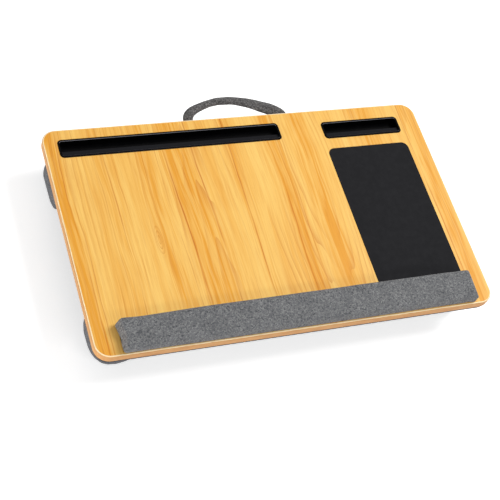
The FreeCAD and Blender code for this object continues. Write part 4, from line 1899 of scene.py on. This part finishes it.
# ---- the parts that keep their solids ------------------------------------------------------------------
@dataclass
class HardParts:
    """The board, trays, pad and fixings, which keep their solids and get their finishes.

    Attributes:
        finishes: Each finish, and the nodes that have it.
    """

    finishes: tuple[tuple[Finish, tuple[str, ...]], ...] = (
        (LAMINATE, ("top_laminate",)),
        (BALANCE_SHEET, ("bottom_laminate",)),
        (EDGE_BAND, ("edge_band",)),
        (CORE_BOARD, ("top_panel",)),
        (TRAY_PLASTIC, ("tablet_tray", "phone_tray", "wrist_rest_base")),
        (PAD_SHEET, ("mouse_pad",)),
        (ADHESIVE, ("mouse_pad_adhesive", "wrist_rest_tapes", "glue_strips")),
        (HARDBOARD, ("backing_board",)),
        (FOAM, ("wrist_rest_core", "front_bolster_fill", "rear_bolster_fill")),
        (BASE_CLOTH, ("base_fabric", "front_bolster_cover", "rear_bolster_cover", "wrist_rest_cover")),
        (STRAP_CLOTH, ("strap_sleeve", "strap_core", "left_strap_end", "right_strap_end")),
        (STAPLE_STEEL, ("hem_staples",)),
        (SCREW_STEEL, ("strap_plates", "strap_screws")),
    )

    def dress(self) -> None:
        """Puts each finish in its nodes' material slots."""
        for finish, names in self.finishes:
            material = finish.make()
            for name in names:
                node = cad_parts[name]
                for place in node.material_slots:
                    place.material = material
                if not node.material_slots:
                    node.data.materials.append(material)
                LOG.info("%s: %s", name, finish.name)


# ---- the studio -------------------------------------------------------------------------------------------
@dataclass(frozen=True)
class SoftLamp:
    """One soft lamp: square, or a strip if it has a height.

    Attributes:
        size: Its width.
        power: Its power in watts.
        aim: Where it points, the middle of the board.
    """

    name: str
    place: Triple
    size: float
    power: float
    height: float = 0.0
    aim: Triple = (0.0, 0.0, 0.06)

    def hang(self) -> None:
        """Adds the lamp to the scene."""
        clear_selection()
        bpy.ops.object.light_add(type="AREA", location=self.place)
        lamp = bpy.context.object
        lamp.name = self.name
        lamp.data.shape = "RECTANGLE"
        lamp.data.size = self.size
        lamp.data.size_y = self.height or self.size
        lamp.data.energy = self.power
        ray = Vector(self.aim) - Vector(self.place)
        lamp.rotation_euler = ray.to_track_quat("-Z", "Y").to_euler()


@dataclass(frozen=True)
class Studio:
    """The floor, the lamps, the world and the camera.

    Attributes:
        camera_turn: The camera's turn in degrees.
        lens: Its focal length in millimetres.
        sensor: Its sensor's width in millimetres.
        sight: The furthest that it sees.
        floor_drop: How far the floor lies under the cushion.
        floor_glow: How much it glows where it is seen, which keeps it pale.
    """

    camera_place: Triple = (-0.62903, -0.80262, 1.36807)
    camera_turn: Triple = (32.93183, -14.88774, -16.92908)
    lens: float = 87.866
    sensor: float = 36.0
    sight: float = 50.0
    floor_size: float = 9.0
    floor_drop: float = 0.2 * MM
    floor_tone: Colour = (0.86, 0.86, 0.86, 1.0)
    floor_roughness: float = 0.9
    floor_glow: float = 0.6
    world_strength: float = 0.32
    lamps: tuple[SoftLamp, ...] = (
        SoftLamp("Key lamp", (4.0, 0.8, 4.4), 2.6, 275.0),
        SoftLamp("Overhead lamp", (-0.2, 0.5, 2.4), 1.2, 4.0),
        SoftLamp("Side strip", (-2.2, -1.0, 0.13), 1.3, 35.0, height=0.2),
        SoftLamp("Front strip", (0.75, -1.97, 1.52), 1.3, 9.0, height=0.16),
    )

    def build(self) -> None:
        """Sets up the whole studio."""
        self._camera()
        self._floor()
        self._world()
        for lamp in self.lamps:
            lamp.hang()
        bpy.context.scene.view_settings.view_transform = "Standard"

    def _camera(self) -> None:
        """Adds the camera."""
        clear_selection()
        turn = Euler([math.radians(angle) for angle in self.camera_turn])
        bpy.ops.object.camera_add(location=self.camera_place, rotation=turn)
        camera = bpy.context.object
        camera.name = "Camera"
        camera.data.sensor_width = self.sensor
        camera.data.lens = self.lens
        camera.data.clip_end = self.sight
        bpy.context.scene.camera = camera

    def _floor(self) -> None:
        """Adds the pale floor, which keeps the desk's shadow."""
        place = (0, 0, -self.floor_drop)
        floor = Workpiece("floor", bpy.ops.mesh.primitive_plane_add, size=self.floor_size, location=place)
        material = bpy.data.materials.new("Pale floor")
        material.use_nodes = True
        w = Wiring(material.node_tree)
        surface = w.find("BSDF_PRINCIPLED").inputs
        w.feed(surface["Base Color"], self.floor_tone)
        w.feed(surface["Roughness"], self.floor_roughness)
        w.feed(surface["Specular IOR Level"], 0.0)
        w.feed(surface["Emission Color"], WHITE)
        w.feed(surface["Emission Strength"], w.times(self._seen(w), self.floor_glow))
        floor.dress(material)

    @staticmethod
    def _seen(w: Wiring) -> Socket:
        """Finds out where the background is seen.

        Args:
            w: The wiring of its material or of the world.

        Returns:
            1 where it is seen by itself, mirrored or through glass, and 0 elsewhere.
        """
        path = w.add("ShaderNodeLightPath").outputs
        seen = w.math("MAXIMUM", path["Is Camera Ray"], path["Is Transmission Ray"])
        return w.math("MAXIMUM", seen, path["Is Glossy Ray"])

    def _world(self) -> None:
        """Sets the plain surrounding light, white where it is seen."""
        world = bpy.data.worlds.new("Studio")
        bpy.context.scene.world = world
        world.use_nodes = True
        w = Wiring(world.node_tree)
        background = w.find("BACKGROUND").inputs
        w.feed(background["Color"], WHITE)
        strength = w.raised(self.world_strength, self._seen(w), 1.0 - self.world_strength)
        w.feed(background["Strength"], strength)


def main() -> None:
    """Builds and dresses every piece in order."""
    logging.basicConfig(level=logging.INFO, format="%(message)s")
    Studio().build()
    HardParts().dress()
    makers = (
        WristRest(),
        Bolster("front_bolster", corner=30 * MM, belly=6 * MM, drawn_in=8.5 * MM, right_slack=4.5 * MM),
        Bolster("rear_bolster", corner=27 * MM),
        BaseCover(),
        CarryStrap(),
    )
    for maker in makers:
        piece = maker.build()
        maker.dress(piece)
        LOG.info("%s: %d faces", piece.obj.name, len(piece.obj.data.polygons))


if __name__ == "__main__":
    main()
